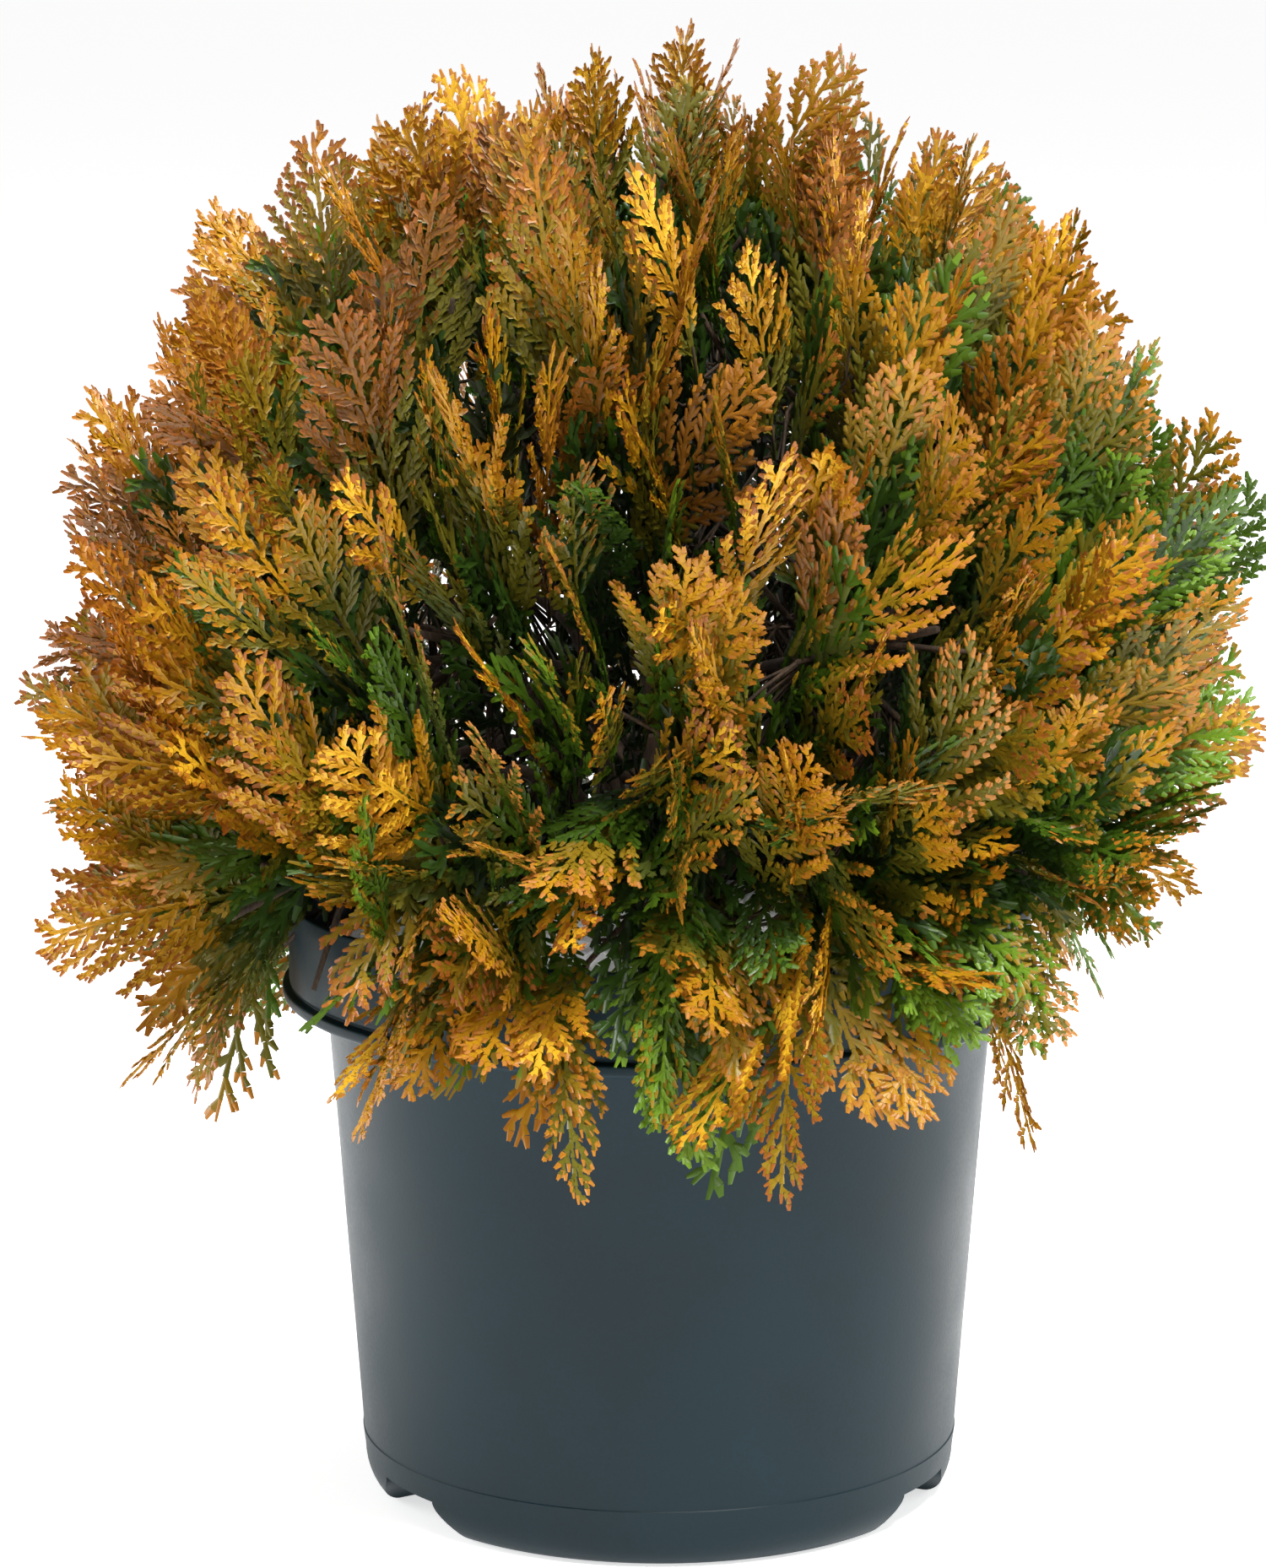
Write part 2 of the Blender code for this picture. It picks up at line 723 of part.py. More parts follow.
def place_pieces(mass, masses, meshes, spray_count, rng, collection):
    """Adds the twigs and sprays of a mass to the collection, unfused."""
    twig, short_spray, long_spray = meshes
    stem, twigs = grow_twigs(mass, masses)
    wood = [(*stem, STEM_RADIUS), *((foot, tip, TWIG_RADIUS) for foot, tip, _ in twigs)]
    for index, (foot, tip, radius) in enumerate(wood):
        piece = add_object(f"twig_{mass['name']}_{index}", twig, collection)
        along = tip - foot
        placing = frame_along(foot, along, upright_normal(along.normalized(), 0.3 * index))
        piece.matrix_world = placing @ Matrix.Diagonal((along.length, radius, radius, 1.0))
    sprays = grow_sprays(mass, masses, twigs, rng)
    for index, (placing, at_tip) in enumerate(sprays[:spray_count]):
        mesh = long_spray if at_tip else short_spray
        piece = add_object(f"spray_{mass['name']}_{index}", mesh, collection)
        piece.matrix_world = placing


def build_mass(mass, masses, parts, meshes, rng):
    """Grows and fuses a mass, again where it doesn't close, with fewer sprays from the third."""
    foliage = add_object(f"foliage_{mass['name']}", bpy.data.meshes.new("core"), parts)
    for attempt in range(TWIGS * SPRAYS_PER_TWIG):
        spray_count = TWIGS * SPRAYS_PER_TWIG - max(0, attempt - 1)
        foliage.data = core_mesh(mass, masses, rng)
        pieces = new_collection(f"pieces of {mass['name']}")
        place_pieces(mass, masses, meshes, spray_count, rng, pieces)
        solids = [fuse(foliage, pieces, solver) for solver in ("EXACT", "MANIFOLD")]
        for piece in list(pieces.objects):
            bpy.data.objects.remove(piece, do_unlink=True)
        bpy.data.collections.remove(pieces)
        closed = [solid for solid in solids if is_closed(solid)]
        if closed:
            break
    foliage.data = closed[0]
    foliage.data.name = foliage.name
    foliage.data.materials.clear()
    foliage.data.materials.append(material(foliage.name, mass["colour"], 0.7))


def build():
    clear_scene()
    parts = new_collection(OBJECT_NAME)
    cutters = new_collection("cutters")
    build_pot(parts, cutters)
    wood = material("bark", "wood", 0.85)
    build_trunk(parts, wood)
    masses = plan_masses()
    meshes = (twig_mesh(), spray_mesh(SHORT_TEETH), spray_mesh(LONG_TEETH))
    rng = random.Random(SEED)
    for mass in masses:
        build_bough(mass, parts, wood)
        build_mass(mass, masses, parts, meshes, rng)


build()
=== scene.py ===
# Potted globe arborvitae: the looks of the plant and its pot.
# Metres, +Z up. The origin is the centre of the pot's flat underside, and -Y is the front.

import math

import bmesh
import bpy
import numpy as np
from mathutils import Matrix, Vector


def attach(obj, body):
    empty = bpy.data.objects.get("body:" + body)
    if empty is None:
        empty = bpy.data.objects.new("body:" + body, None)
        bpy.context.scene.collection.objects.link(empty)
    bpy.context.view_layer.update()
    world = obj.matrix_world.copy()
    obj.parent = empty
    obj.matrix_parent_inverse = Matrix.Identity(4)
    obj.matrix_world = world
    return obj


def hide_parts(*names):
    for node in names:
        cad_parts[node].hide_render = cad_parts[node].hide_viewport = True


bl_info = {
    "name": "Potted globe arborvitae",
    "version": (1, 0, 0),
    "blender": (4, 5, 0),
    "location": "View3D > Sidebar > Arborvitae",
    "description": "Models a dense globe arborvitae in winter colours in its nursery pot",
    "category": "Add Mesh",
}

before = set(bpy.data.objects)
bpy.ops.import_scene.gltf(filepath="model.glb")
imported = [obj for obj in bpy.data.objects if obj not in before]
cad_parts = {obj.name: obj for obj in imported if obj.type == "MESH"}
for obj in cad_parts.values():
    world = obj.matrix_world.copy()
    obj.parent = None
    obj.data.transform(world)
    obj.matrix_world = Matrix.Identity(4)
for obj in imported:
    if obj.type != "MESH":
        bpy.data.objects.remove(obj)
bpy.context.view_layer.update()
BODY = "root"
UP = np.array((0.0, 0.0, 1.0))
GOLDEN_ANGLE = math.radians(137.508)

# Pot
POT_HEIGHT = 0.184
POT_SIDES = 144
WALL = 0.0018
FLOOR = 0.0022
BEAD_RADIUS = 0.1140
LIP_RADIUS = 0.1120
SHOULDER_Z = 0.1536
BEAD_HEIGHT = 0.0044
BODY_TOP_RADIUS = 0.1007
BODY_FOOT_RADIUS = 0.0894
FLAT_RADIUS = 0.0825
FOOT_ROUND_HEIGHT = 0.012
SEAM_HEIGHT = 0.0185
SEAM_STEP = 0.0003
RECESS_HEIGHT = 0.0108
RECESS_TOP_HALF_WIDTH = 0.0135
RECESS_FOOT_HALF_WIDTH = 0.0222
RECESS_INNER_RADIUS = 0.055
RECESS_AZIMUTHS = (-57.0, 63.0, 183.0)
RECESS_STEPS = 14
DRAIN_RADIUS = 0.005
DRAIN_CENTRE_RADIUS = 0.070
DRAIN_SIDES = 32
FIT_GAP = 0.0003
SHARP_EDGE = 32.0
WELD = 0.0001

# Skins: coarse and fine pitch of the mottle, share of the fine one, bump strength and depth
POT_SKIN = {"coarse": 26.0, "fine": 900.0, "share": 0.35, "bump": 0.12, "depth": 0.0003}
SOIL_SKIN = {"coarse": 90.0, "fine": 700.0, "share": 0.5, "bump": 0.8, "depth": 0.002}
BARK_SKIN = {"coarse": 220.0, "fine": 1400.0, "share": 0.5, "bump": 0.6, "depth": 0.0008}
EVEN = (1.0, 1.0, 1.0)
STRINGY = (1.0, 1.0, 0.18)
# Stops along the mottle: shares of the pot's colour, its roughness, and the tones of the rest
POT_TONES = ((0.36, 0.82), (0.66, 1.22))
POT_DULLNESS = ((0.35, 0.34), (0.7, 0.5))
POT_GLOSS = 0.2
SOIL_TONES = (
    (0.38, (0.008, 0.005, 0.003, 1.0)),
    (0.55, (0.034, 0.021, 0.012, 1.0)),
    (0.70, (0.090, 0.058, 0.034, 1.0)),
)
BARK_TONES = (
    (0.36, (0.016, 0.009, 0.004, 1.0)),
    (0.52, (0.048, 0.026, 0.012, 1.0)),
    (0.68, (0.100, 0.058, 0.030, 1.0)),
)
FOLIAGE_ROUGHNESS = 0.42

# Soil: its crumbs are the sum of many waves, whose pitch is in radians for each metre
SOIL_SIDES = 72
SOIL_RINGS = 44
SOIL_WAVES = 40
WAVE_PITCHES = (60, 900)
WAVE_PHASES = (0, 6.28)
WAVE_SIZES = (0.3, 1.0)
WAVE_SHARE = 0.12  # of the crumb height that a wave of size 1 gives
STILL_EDGE = 0.001
SOIL_SEED = 5

# Root ball, trunk and boughs
SOIL_TOP = 0.164
TRUNK_TOP = 0.232
TRUNK_LEAN = np.array((-0.003, 0.002, 0.0))
FLARE_RADIUS = 0.0135
TRUNK_FOOT_RADIUS = 0.0088
TRUNK_TOP_RADIUS = 0.0068
FLARE_HEIGHT = 0.014
BOUGH_START_Z = {"lower": 0.186, "middle": 0.203, "upper": 0.220}
BOUGH_FOOT_RADIUS = 0.0030
BOUGH_TIP_RADIUS = 0.0019
BOUGH_PULL = 0.4
BOUGH_SINK = 0.8  # of the trunk's radius, where a bough starts
STEM_RADIUS = 0.0020
TWIG_RADIUS = 0.0013
SHOOT_RADIUS = 0.0006
LIMB_TAPER = 0.6  # of a twig's or shoot's foot radius, at its tip
SHOOT_PULL = 0.35  # of a shoot's length, how far its ends hold their direction
SHOOT_RUN = 0.012  # how far a shoot runs on into its spray
TRUNK_RINGS, TRUNK_SIDES, TRUNK_RELIEF, TRUNK_SEED = 60, 36, 0.045, 3
BOUGH_RINGS, BOUGH_SIDES, BOUGH_RELIEF, BOUGH_SEED = 26, 14, 0.05, 20
TWIG_RINGS, TWIG_SIDES, SHOOT_SIDES = 5, 5, 4
STRING_LOBES = (3, 5, 8, 11, 17)  # round a limb, for the strings of its bark
STRING_DRIFT = 0.16
STRING_FADE = 0.4
STRING_PHASES = (0, 6)

# Crown
CROWN_CENTRE = np.array((0.0, 0.0, 0.245))
REACH_TOP = 0.205
LEVEL_REACH = {"front": 0.184, "right": 0.190, "back": 0.188, "left": 0.200}
LOW_REACH = {"front": 0.178, "right": 0.158, "back": 0.172, "left": 0.196}
LOW_ELEVATION = 32.0
OUTLINE_DIP = 0.05
FULL_DEPTH = 0.26
INNER_REACH = 0.060
LOWEST_TIP = 0.124
RINGS = (
    ("lower", -20.0, 21.0, 27.0, 2.0,
     ("front", "front_right", "back_right", "back", "back_left", "front_left")),
    ("middle", 15.0, 17.0, 27.0, 32.0,
     ("right_front", "right", "right_back", "left_back", "left", "left_front")),
    ("upper", 50.0, 17.0, 27.0, 40.0, ("front_right", "back_right", "back_left", "front_left")),
    ("top", 90.0, 20.0, 20.0, 0.0, ("crown",)),
)
RING_COLOURS = {
    "lower": ("olive", "green", "green", "olive", "olive", "gold"),
    "middle": ("gold", "green", "olive", "gold", "bronze", "olive"),
    "upper": ("gold", "olive", "gold", "bronze"),
    "top": ("gold",),
}

# Twigs of a mass
TWIGS = 5
FIRST_TWIG, LAST_TWIG = 0.3, 0.8
STEM_STOPS_SHORT = 0.038
TWIG_STOPS_SHORT = 0.046
SHOOT_LEAVES_BELOW = 0.15  # of a twig's length
CELL_SPREAD = 1.42  # how far the aims go past a mass's half width and height
CELL_MARGIN = -0.03  # how far an aim may stand outside its own mass
AIM_WANDER = 0.035
OUTER_DEPTH = (0.88, 1.0)  # shares of the reach at which outer and inner sprays end
INNER_DEPTH = (0.74, 0.9)
RIM_CLEARANCE = 0.004
MOUTH_RADIUS = 0.085
RIM_MOVE = 0.036  # the most that a spray is moved to hang outside the rim
RIM_PRESS = 0.1  # of a spray's own depth that is left where the rim presses it
TIP_OVERREACH = 0.002  # how far single tips may stand past their spray's reach
TIP_LIFT = 0.004  # of a low spray's middle tip over the lowest tip
SIDE_DROP = 0.002  # how far its side cords may hang under the lowest tip
BARE_RIM = ((-62.0, -38.0), (50.0, 84.0))  # azimuths where the rim shows under the crown
BARE_RIM_DROP = 0.006

# How sprays stand. Lifts are the upward share of their growth: at level, and its change with height
GROWTH_OUT = 0.9
HIGH_LIFT = (0.55, 0.35)
LOW_LIFT = (0.5, 1.6)
GROWTH_WANDER = 0.18
NEARLY_UPRIGHT = 0.15
FACES_OUT = (0.32, 1.6)  # share of sprays that face outwards at level, and its loss with height
FACES_OUT_RANGE = (0.2, 0.85)
BLADE_ROLL = 0.5
SPRAY_BEND = 0.10
SPRAY_CUP = 0.35
RIB_INSIDE = 0.97  # share of a spray's length between its foot and the outline

# Cords of a spray. Sizes in metres; widths of a scale pair are shares of its cord's width.
FULL_FORM = {
    "width": 0.0022, "pair": 0.0022, "side_step": 0.0046, "cord_step": 0.0019,
    "short": 0.0032, "long": 0.0030, "least": 0.0026,
}
PLAIN_FORM = {
    "width": 0.0030, "pair": 0.0052, "side_step": 0.0064, "cord_step": 0.0036,
    "short": 0.005, "long": 0.005, "least": 0.004,
}
FULL_LENGTHS = (0.058, 0.066, 0.074, 0.082, 0.090)
PLAIN_LENGTHS = (0.052, 0.062, 0.072)
CORD_TAPER = 0.22
PAIR_WIDTHS = (0.66, 1.0)
LAST_PAIR_WIDTHS = (0.95, 0.5)
RIDGE_RISE = 0.62  # of a cord's middle over its edges, as a share of its half width
PAIR_TILT = 0.2
FULLNESSES = (0.85, 1.0, 1.15)
FEWEST_SIDES = 6
RIB_CURL = 0.25
RIB_PAIR = 1.3
BARE_FOOT = 0.10  # share of the rib that bears no side cords

# Side cords: their length is a share of the spray's, which swells from its foot and fades to its
# tip. Angles are degrees off the rib, bends and slopes radians.
SIDE_LEAST, SIDE_SPAN = 0.05, 0.36
SWELL_LEAD, SWELL_SHARE, FADE_SHARE = 0.05, 0.36, 0.62
SIDE_LENGTHS = (0.84, 1.12)
SIDE_ANGLES = (32, 44)
SIDE_BENDS = (0.15, 0.5)
SIDE_SLOPE = 0.09

# Short cords on a side cord
SHORT_LENGTHS = (0.8, 1.15)
SHORT_MOST = 0.55  # of its side cord's length
SHORT_ANGLES = (27, 38)
SHORT_BENDS = (0.1, 0.45)
SHORT_SLOPE = 0.10
SHORT_WIDTH = 0.92

# Tints change where a scale pair stands further out than these shares of the crown's reach, and
# the last pair of a cord takes the colour of tips from TIP_DEPTH outwards
TINT_DEPTHS = (0.66, 0.79, 0.90)
TIP_DEPTH = 0.84
TINT_WANDER = 0.03
TINT_GRAIN = 0.012

# Foliage tints, as display colours
TINTS = {
    # The darkest green is painted shade for the depth of the crown
    "painted_shade_green": (26, 42, 10),
    "deep_green": (42, 68, 12),
    "mid_green": (70, 100, 16),
    "fresh_green": (106, 142, 30),
    "dusty_green": (98, 108, 42),
    "olive": (104, 98, 20),
    "olive_gold": (146, 118, 20),
    "gold": (188, 136, 18),
    # The brightest gold is a painted highlight on outer scale pairs, over their real gold
    "painted_highlight_gold": (226, 174, 38),
    "amber": (176, 114, 20),
    "bronze": (130, 82, 16),
    "rust": (158, 92, 26),
    "pale_rust": (184, 120, 44),
}
TINT_NAMES = tuple(TINTS)

# Tints of a spray from the depth of the crown to its outside, and last its tips. Inside they are
# greener, as the plant is, and darker as painted shade.
# Some outer steps take the brightest gold, a painted highlight
SPRAY_TINTS = {
    "gold": (
        ("deep_green", "olive", "olive_gold", "gold", "amber"),
        ("deep_green", "olive", "gold", "gold", "rust"),
        ("mid_green", "olive", "gold", "painted_highlight_gold", "amber"),
        ("deep_green", "mid_green", "olive_gold", "gold", "pale_rust"),
        ("olive", "olive_gold", "gold", "painted_highlight_gold", "rust"),
    ),
    "bronze": (
        ("deep_green", "olive", "bronze", "amber", "rust"),
        ("painted_shade_green", "olive", "bronze", "bronze", "rust"),
        ("deep_green", "olive", "olive_gold", "amber", "rust"),
        ("olive", "bronze", "amber", "gold", "pale_rust"),
    ),
    "olive": (
        ("deep_green", "mid_green", "olive", "olive_gold", "amber"),
        ("deep_green", "dusty_green", "olive", "olive_gold", "rust"),
        ("painted_shade_green", "deep_green", "olive", "olive", "pale_rust"),
        ("deep_green", "mid_green", "olive", "gold", "amber"),
    ),
    "green": (
        ("painted_shade_green", "deep_green", "mid_green", "fresh_green", "olive_gold"),
        ("deep_green", "mid_green", "mid_green", "fresh_green", "fresh_green"),
        ("deep_green", "dusty_green", "mid_green", "olive", "amber"),
        ("painted_shade_green", "deep_green", "deep_green", "mid_green", "mid_green"),
    ),
    # Dark tints of painted shade for the sprays deep inside every mass
    "shade": (
        ("painted_shade_green", "painted_shade_green", "deep_green", "deep_green", "deep_green"),
        ("painted_shade_green", "deep_green", "deep_green", "mid_green", "mid_green"),
        ("painted_shade_green", "deep_green", "olive", "olive", "olive"),
    ),
}
# How often a mass of each colour, and the painted shade inside every mass, grows sprays of each kind
MIX = {
    "gold": (("gold", 0.70), ("bronze", 0.14), ("olive", 0.16)),
    "bronze": (("bronze", 0.55), ("gold", 0.33), ("olive", 0.12)),
    "olive": (("olive", 0.50), ("gold", 0.30), ("green", 0.20)),
    "green": (("green", 0.56), ("olive", 0.32), ("gold", 0.12)),
    "shade": (("shade", 0.55), ("green", 0.30), ("olive", 0.15)),
}

# Stage: each light's place, what it aims at, its width and its watts
FLOOR_SIZE = 80.0
FLOOR_WHITE = 0.88
FLOOR_ROUGHNESS = 0.9
FLOOR_GLOW = 0.66
STUDIO_GLOW = 0.34
SENSOR_WIDTH = 36.0
LIGHTS = {
    "key": ((0.5, -1.2, 2.3), (0.0, 0.0, 0.25), 0.7, 70),
    "left_edge": ((-1.9, 0.5, 0.7), (0.0, 0.0, 0.2), 1.0, 22),
    "right_edge": ((1.9, 0.6, 0.8), (0.0, 0.0, 0.2), 0.9, 14),
    "top": ((0.1, 0.4, 2.2), (0.0, 0.0, 0.3), 1.6, 30),
}


# Tools of the bench

def deselect_all():
    if bpy.context.object and bpy.context.object.mode != "OBJECT":
        bpy.ops.object.mode_set(mode="OBJECT")
    bpy.ops.object.select_all(action="DESELECT")


def finish_piece(piece, name, slot, *nodes):
    piece.name = name
    piece.data.name = name
    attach(piece, BODY)
    if nodes:
        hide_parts(*nodes)


def display_colour(red, green, blue):
    """A linear colour from display values of 0 to 255."""
    linear = []
    for value in (red, green, blue):
        share = value / 255
        linear.append(share / 12.92 if share <= 0.04045 else ((share + 0.055) / 1.055) ** 2.4)
    return (*linear, 1.0)


def new_material(name, colour, roughness):
    made = bpy.data.materials.new(name)
    made.use_nodes = True
    shader = made.node_tree.nodes["Principled BSDF"]
    shader.inputs["Base Color"].default_value = colour
    shader.inputs["Roughness"].default_value = roughness
    made.diffuse_color = colour
    return made


def mottle_group():
    """Two scales of soft noise as a mask, and the same as a height, for any grown or moulded skin."""
    name = "mottle"
    if name in bpy.data.node_groups:
        return bpy.data.node_groups[name]
    group = bpy.data.node_groups.new(name, "ShaderNodeTree")
    face = group.interface
    face.new_socket("Vector", in_out="INPUT", socket_type="NodeSocketVector")
    for label, value in (("Coarse Scale", 40.0), ("Fine Scale", 400.0), ("Fine Share", 0.4)):
        face.new_socket(label, in_out="INPUT", socket_type="NodeSocketFloat").default_value = value
    face.new_socket("Mask", in_out="OUTPUT", socket_type="NodeSocketFloat")
    face.new_socket("Fine", in_out="OUTPUT", socket_type="NodeSocketFloat")
    nodes, links = group.nodes, group.links
    start, end = nodes.new("NodeGroupInput"), nodes.new("NodeGroupOutput")
    noises = []
    for label in ("Coarse Scale", "Fine Scale"):
        noise = nodes.new("ShaderNodeTexNoise")
        noise.inputs["Detail"].default_value = 4.0
        links.new(start.outputs["Vector"], noise.inputs["Vector"])
        links.new(start.outputs[label], noise.inputs["Scale"])
        noises.append(noise)
    mix = nodes.new("ShaderNodeMix")
    links.new(start.outputs["Fine Share"], mix.inputs[0])
    links.new(noises[0].outputs["Fac"], mix.inputs[2])
    links.new(noises[1].outputs["Fac"], mix.inputs[3])
    links.new(mix.outputs[0], end.inputs["Mask"])
    links.new(noises[1].outputs["Fac"], end.inputs["Fine"])
    return group


def add_mottle(made, scale, skin):
    """Places the mottle group in a material on object coordinates, stretched by scale."""
    nodes, links = made.node_tree.nodes, made.node_tree.links
    place = nodes.new("ShaderNodeTexCoord")
    stretch = nodes.new("ShaderNodeMapping")
    stretch.inputs["Scale"].default_value = scale
    mottle = nodes.new("ShaderNodeGroup")
    mottle.node_tree = mottle_group()
    links.new(place.outputs["Object"], stretch.inputs["Vector"])
    links.new(stretch.outputs["Vector"], mottle.inputs["Vector"])
    mottle.inputs["Coarse Scale"].default_value = skin["coarse"]
    mottle.inputs["Fine Scale"].default_value = skin["fine"]
    mottle.inputs["Fine Share"].default_value = skin["share"]
    return mottle


def add_ramp(made, source, stops):
    """A colour or grey ramp from (place, colour) stops."""
    ramp = made.node_tree.nodes.new("ShaderNodeValToRGB")
    made.node_tree.links.new(source, ramp.inputs["Fac"])
    while len(ramp.color_ramp.elements) < len(stops):
        ramp.color_ramp.elements.new(0.5)
    for element, (place, colour) in zip(ramp.color_ramp.elements, stops):
        element.position = place
        element.color = colour
    return ramp.outputs["Color"]


def add_bump(made, source, skin):
    bump = made.node_tree.nodes.new("ShaderNodeBump")
    bump.inputs["Strength"].default_value = skin["bump"]
    bump.inputs["Distance"].default_value = skin["depth"]
    made.node_tree.links.new(source, bump.inputs["Height"])
    shader = made.node_tree.nodes["Principled BSDF"]
    made.node_tree.links.new(bump.outputs["Normal"], shader.inputs["Normal"])


def grey(value):
    return (value, value, value, 1.0)


def shaded(colour, share):
    return tuple(share * part for part in colour[:3]) + (1.0,)


def pot_material(colour):
    made = new_material("pot_plastic", colour, 0.4)
    links = made.node_tree.links
    shader = made.node_tree.nodes["Principled BSDF"]
    mottle = add_mottle(made, EVEN, POT_SKIN)
    tones = [(place, shaded(colour, share)) for place, share in POT_TONES]
    links.new(add_ramp(made, mottle.outputs["Mask"], tones), shader.inputs["Base Color"])
    dullness = [(place, grey(value)) for place, value in POT_DULLNESS]
    links.new(add_ramp(made, mottle.outputs["Mask"], dullness), shader.inputs["Roughness"])
    shader.inputs["Specular IOR Level"].default_value = POT_GLOSS
    add_bump(made, mottle.outputs["Fine"], POT_SKIN)
    return made


def crumbly_material(name, roughness, scale, skin, tones):
    """A rough natural material whose tone and relief follow the same mottle."""
    made = new_material(name, tones[1][1], roughness)
    shader = made.node_tree.nodes["Principled BSDF"]
    mottle = add_mottle(made, scale, skin)
    tone = add_ramp(made, mottle.outputs["Mask"], tones)
    made.node_tree.links.new(tone, shader.inputs["Base Color"])
    add_bump(made, mottle.outputs["Mask"], skin)
    return made


# Pot and soil

def body_radius(height):
    slope = (BODY_TOP_RADIUS - BODY_FOOT_RADIUS) / SHOULDER_Z
    return BODY_FOOT_RADIUS + slope * height


def foot_arc(inset, floor_z, steps):
    """The rounded edge from the flat underside up to the wall."""
    wall_radius = body_radius(FOOT_ROUND_HEIGHT) - inset
    flat_radius = FLAT_RADIUS - inset
    points = []
    for step in range(steps + 1):
        turn = math.pi / 2 * step / steps
        radius = flat_radius + (wall_radius - flat_radius) * math.sin(turn)
        height = floor_z + (FOOT_ROUND_HEIGHT - floor_z) * (1 - math.cos(turn))
        points.append((radius, height))
    return points


def rounded(corners, steps=4):
    """A profile whose (radius, height, round) corners are replaced by arcs."""
    points = []
    for index, (radius, height, size) in enumerate(corners):
        corner = Vector((radius, height))
        if size == 0.0 or index in (0, len(corners) - 1):
            points.append(tuple(corner))
            continue
        before = Vector(corners[index - 1][:2]) - corner
        after = Vector(corners[index + 1][:2]) - corner
        start = corner + before.normalized() * min(size, before.length * 0.49)
        end = corner + after.normalized() * min(size, after.length * 0.49)
        for step in range(steps + 1):
            t = step / steps
            place = start * (1 - t) ** 2 + corner * (2 * t * (1 - t)) + end * t * t
            points.append(tuple(place))
    return points


def outer_profile():
    bead_top = SHOULDER_Z + BEAD_HEIGHT
    upper = rounded((
        (body_radius(SHOULDER_Z * 0.8), SHOULDER_Z * 0.8, 0.0),
        (BODY_TOP_RADIUS, SHOULDER_Z - WALL, 0.0012),
        (BEAD_RADIUS - 0.0012, SHOULDER_Z, 0.0006),
        (BEAD_RADIUS, SHOULDER_Z + 0.0009, 0.0007),
        (BEAD_RADIUS, bead_top - 0.0006, 0.0007),
        (LIP_RADIUS - 0.0004, bead_top, 0.0005),
        (LIP_RADIUS, bead_top + 0.0012, 0.0005),
        (LIP_RADIUS, POT_HEIGHT, 0.0009),
        (LIP_RADIUS - WALL / 2, POT_HEIGHT, 0.0),
    ))
    seam = [
        (body_radius(SEAM_HEIGHT) + SEAM_STEP, SEAM_HEIGHT - SEAM_STEP),
        (body_radius(SEAM_HEIGHT), SEAM_HEIGHT),
    ]
    return [*foot_arc(0.0, 0.0, 10), *seam, *upper]


def cavity_profile(inset, top):
    wall = WALL + inset
    return [
        *foot_arc(wall, FLOOR + inset, 8),
        (BODY_TOP_RADIUS - wall, SHOULDER_Z + wall),
        (LIP_RADIUS - wall, SHOULDER_Z + wall + 0.0006),
        (LIP_RADIUS - wall, top),
    ]


def turned(name, profile, sides):
    """A closed solid grown ring by ring from its underside, each ring extruded and resized."""
    deselect_all()
    bpy.ops.mesh.primitive_circle_add(vertices=sides, radius=profile[0][0], fill_type="NGON")
    piece = bpy.context.object
    piece.name = name
    bpy.ops.object.mode_set(mode="EDIT")
    bpy.ops.mesh.select_all(action="SELECT")
    bpy.ops.transform.translate(value=(0.0, 0.0, profile[0][1]))
    for (radius, height), (next_radius, next_height) in zip(profile, profile[1:]):
        rise = next_height - height
        bpy.ops.mesh.extrude_region_move(TRANSFORM_OT_translate={"value": (0.0, 0.0, rise)})
        growth = next_radius / radius
        bpy.ops.transform.resize(
            value=(growth, growth, 1.0), center_override=(0.0, 0.0, next_height)
        )
    bpy.ops.mesh.select_all(action="SELECT")
    bpy.ops.mesh.normals_make_consistent(inside=False)
    bpy.ops.object.mode_set(mode="OBJECT")
    return piece


def recess_outline(growth):
    side = []
    for step in range(RECESS_STEPS + 1):
        rise = step / RECESS_STEPS
        eased = rise * rise * (3 - 2 * rise)
        half_width = RECESS_FOOT_HALF_WIDTH
        half_width += (RECESS_TOP_HALF_WIDTH - RECESS_FOOT_HALF_WIDTH) * eased
        side.append((half_width + growth, (RECESS_HEIGHT + growth) * rise))
    right = [(RECESS_FOOT_HALF_WIDTH + growth, -FOOT_ROUND_HEIGHT), *side]
    return right + [(-half_width, height) for half_width, height in reversed(right)]


def recess_cutter(azimuth, growth):
    """A channel under the wall: its outline as a face at the inner end, extruded outwards."""
    outline = recess_outline(growth)
    inner = RECESS_INNER_RADIUS - growth
    deselect_all()
    bpy.ops.mesh.primitive_circle_add(vertices=len(outline), radius=1.0, fill_type="NGON")
    cutter = bpy.context.object
    bpy.ops.object.mode_set(mode="EDIT")
    shape = bmesh.from_edit_mesh(cutter.data)
    shape.verts.ensure_lookup_table()
    for vertex, (across, height) in zip(shape.verts, outline):
        vertex.co = (across, -inner, height)
    bmesh.update_edit_mesh(cutter.data)
    bpy.ops.mesh.select_all(action="SELECT")
    bpy.ops.mesh.extrude_region_move(
        TRANSFORM_OT_translate={"value": (0.0, inner - BEAD_RADIUS, 0.0)}
    )
    bpy.ops.mesh.select_all(action="SELECT")
    bpy.ops.mesh.normals_make_consistent(inside=False)
    bpy.ops.object.mode_set(mode="OBJECT")
    cutter.data.transform(Matrix.Rotation(math.radians(azimuth), 4, "Z"))
    return cutter


def drain_cutter(azimuth):
    turn = math.radians(azimuth)
    deselect_all()
    bpy.ops.mesh.primitive_cylinder_add(
        vertices=DRAIN_SIDES, radius=DRAIN_RADIUS, depth=4 * WALL,
        location=(
            DRAIN_CENTRE_RADIUS * math.sin(turn),
            -DRAIN_CENTRE_RADIUS * math.cos(turn),
            RECESS_HEIGHT + WALL / 2,
        ),
    )
    return bpy.context.object


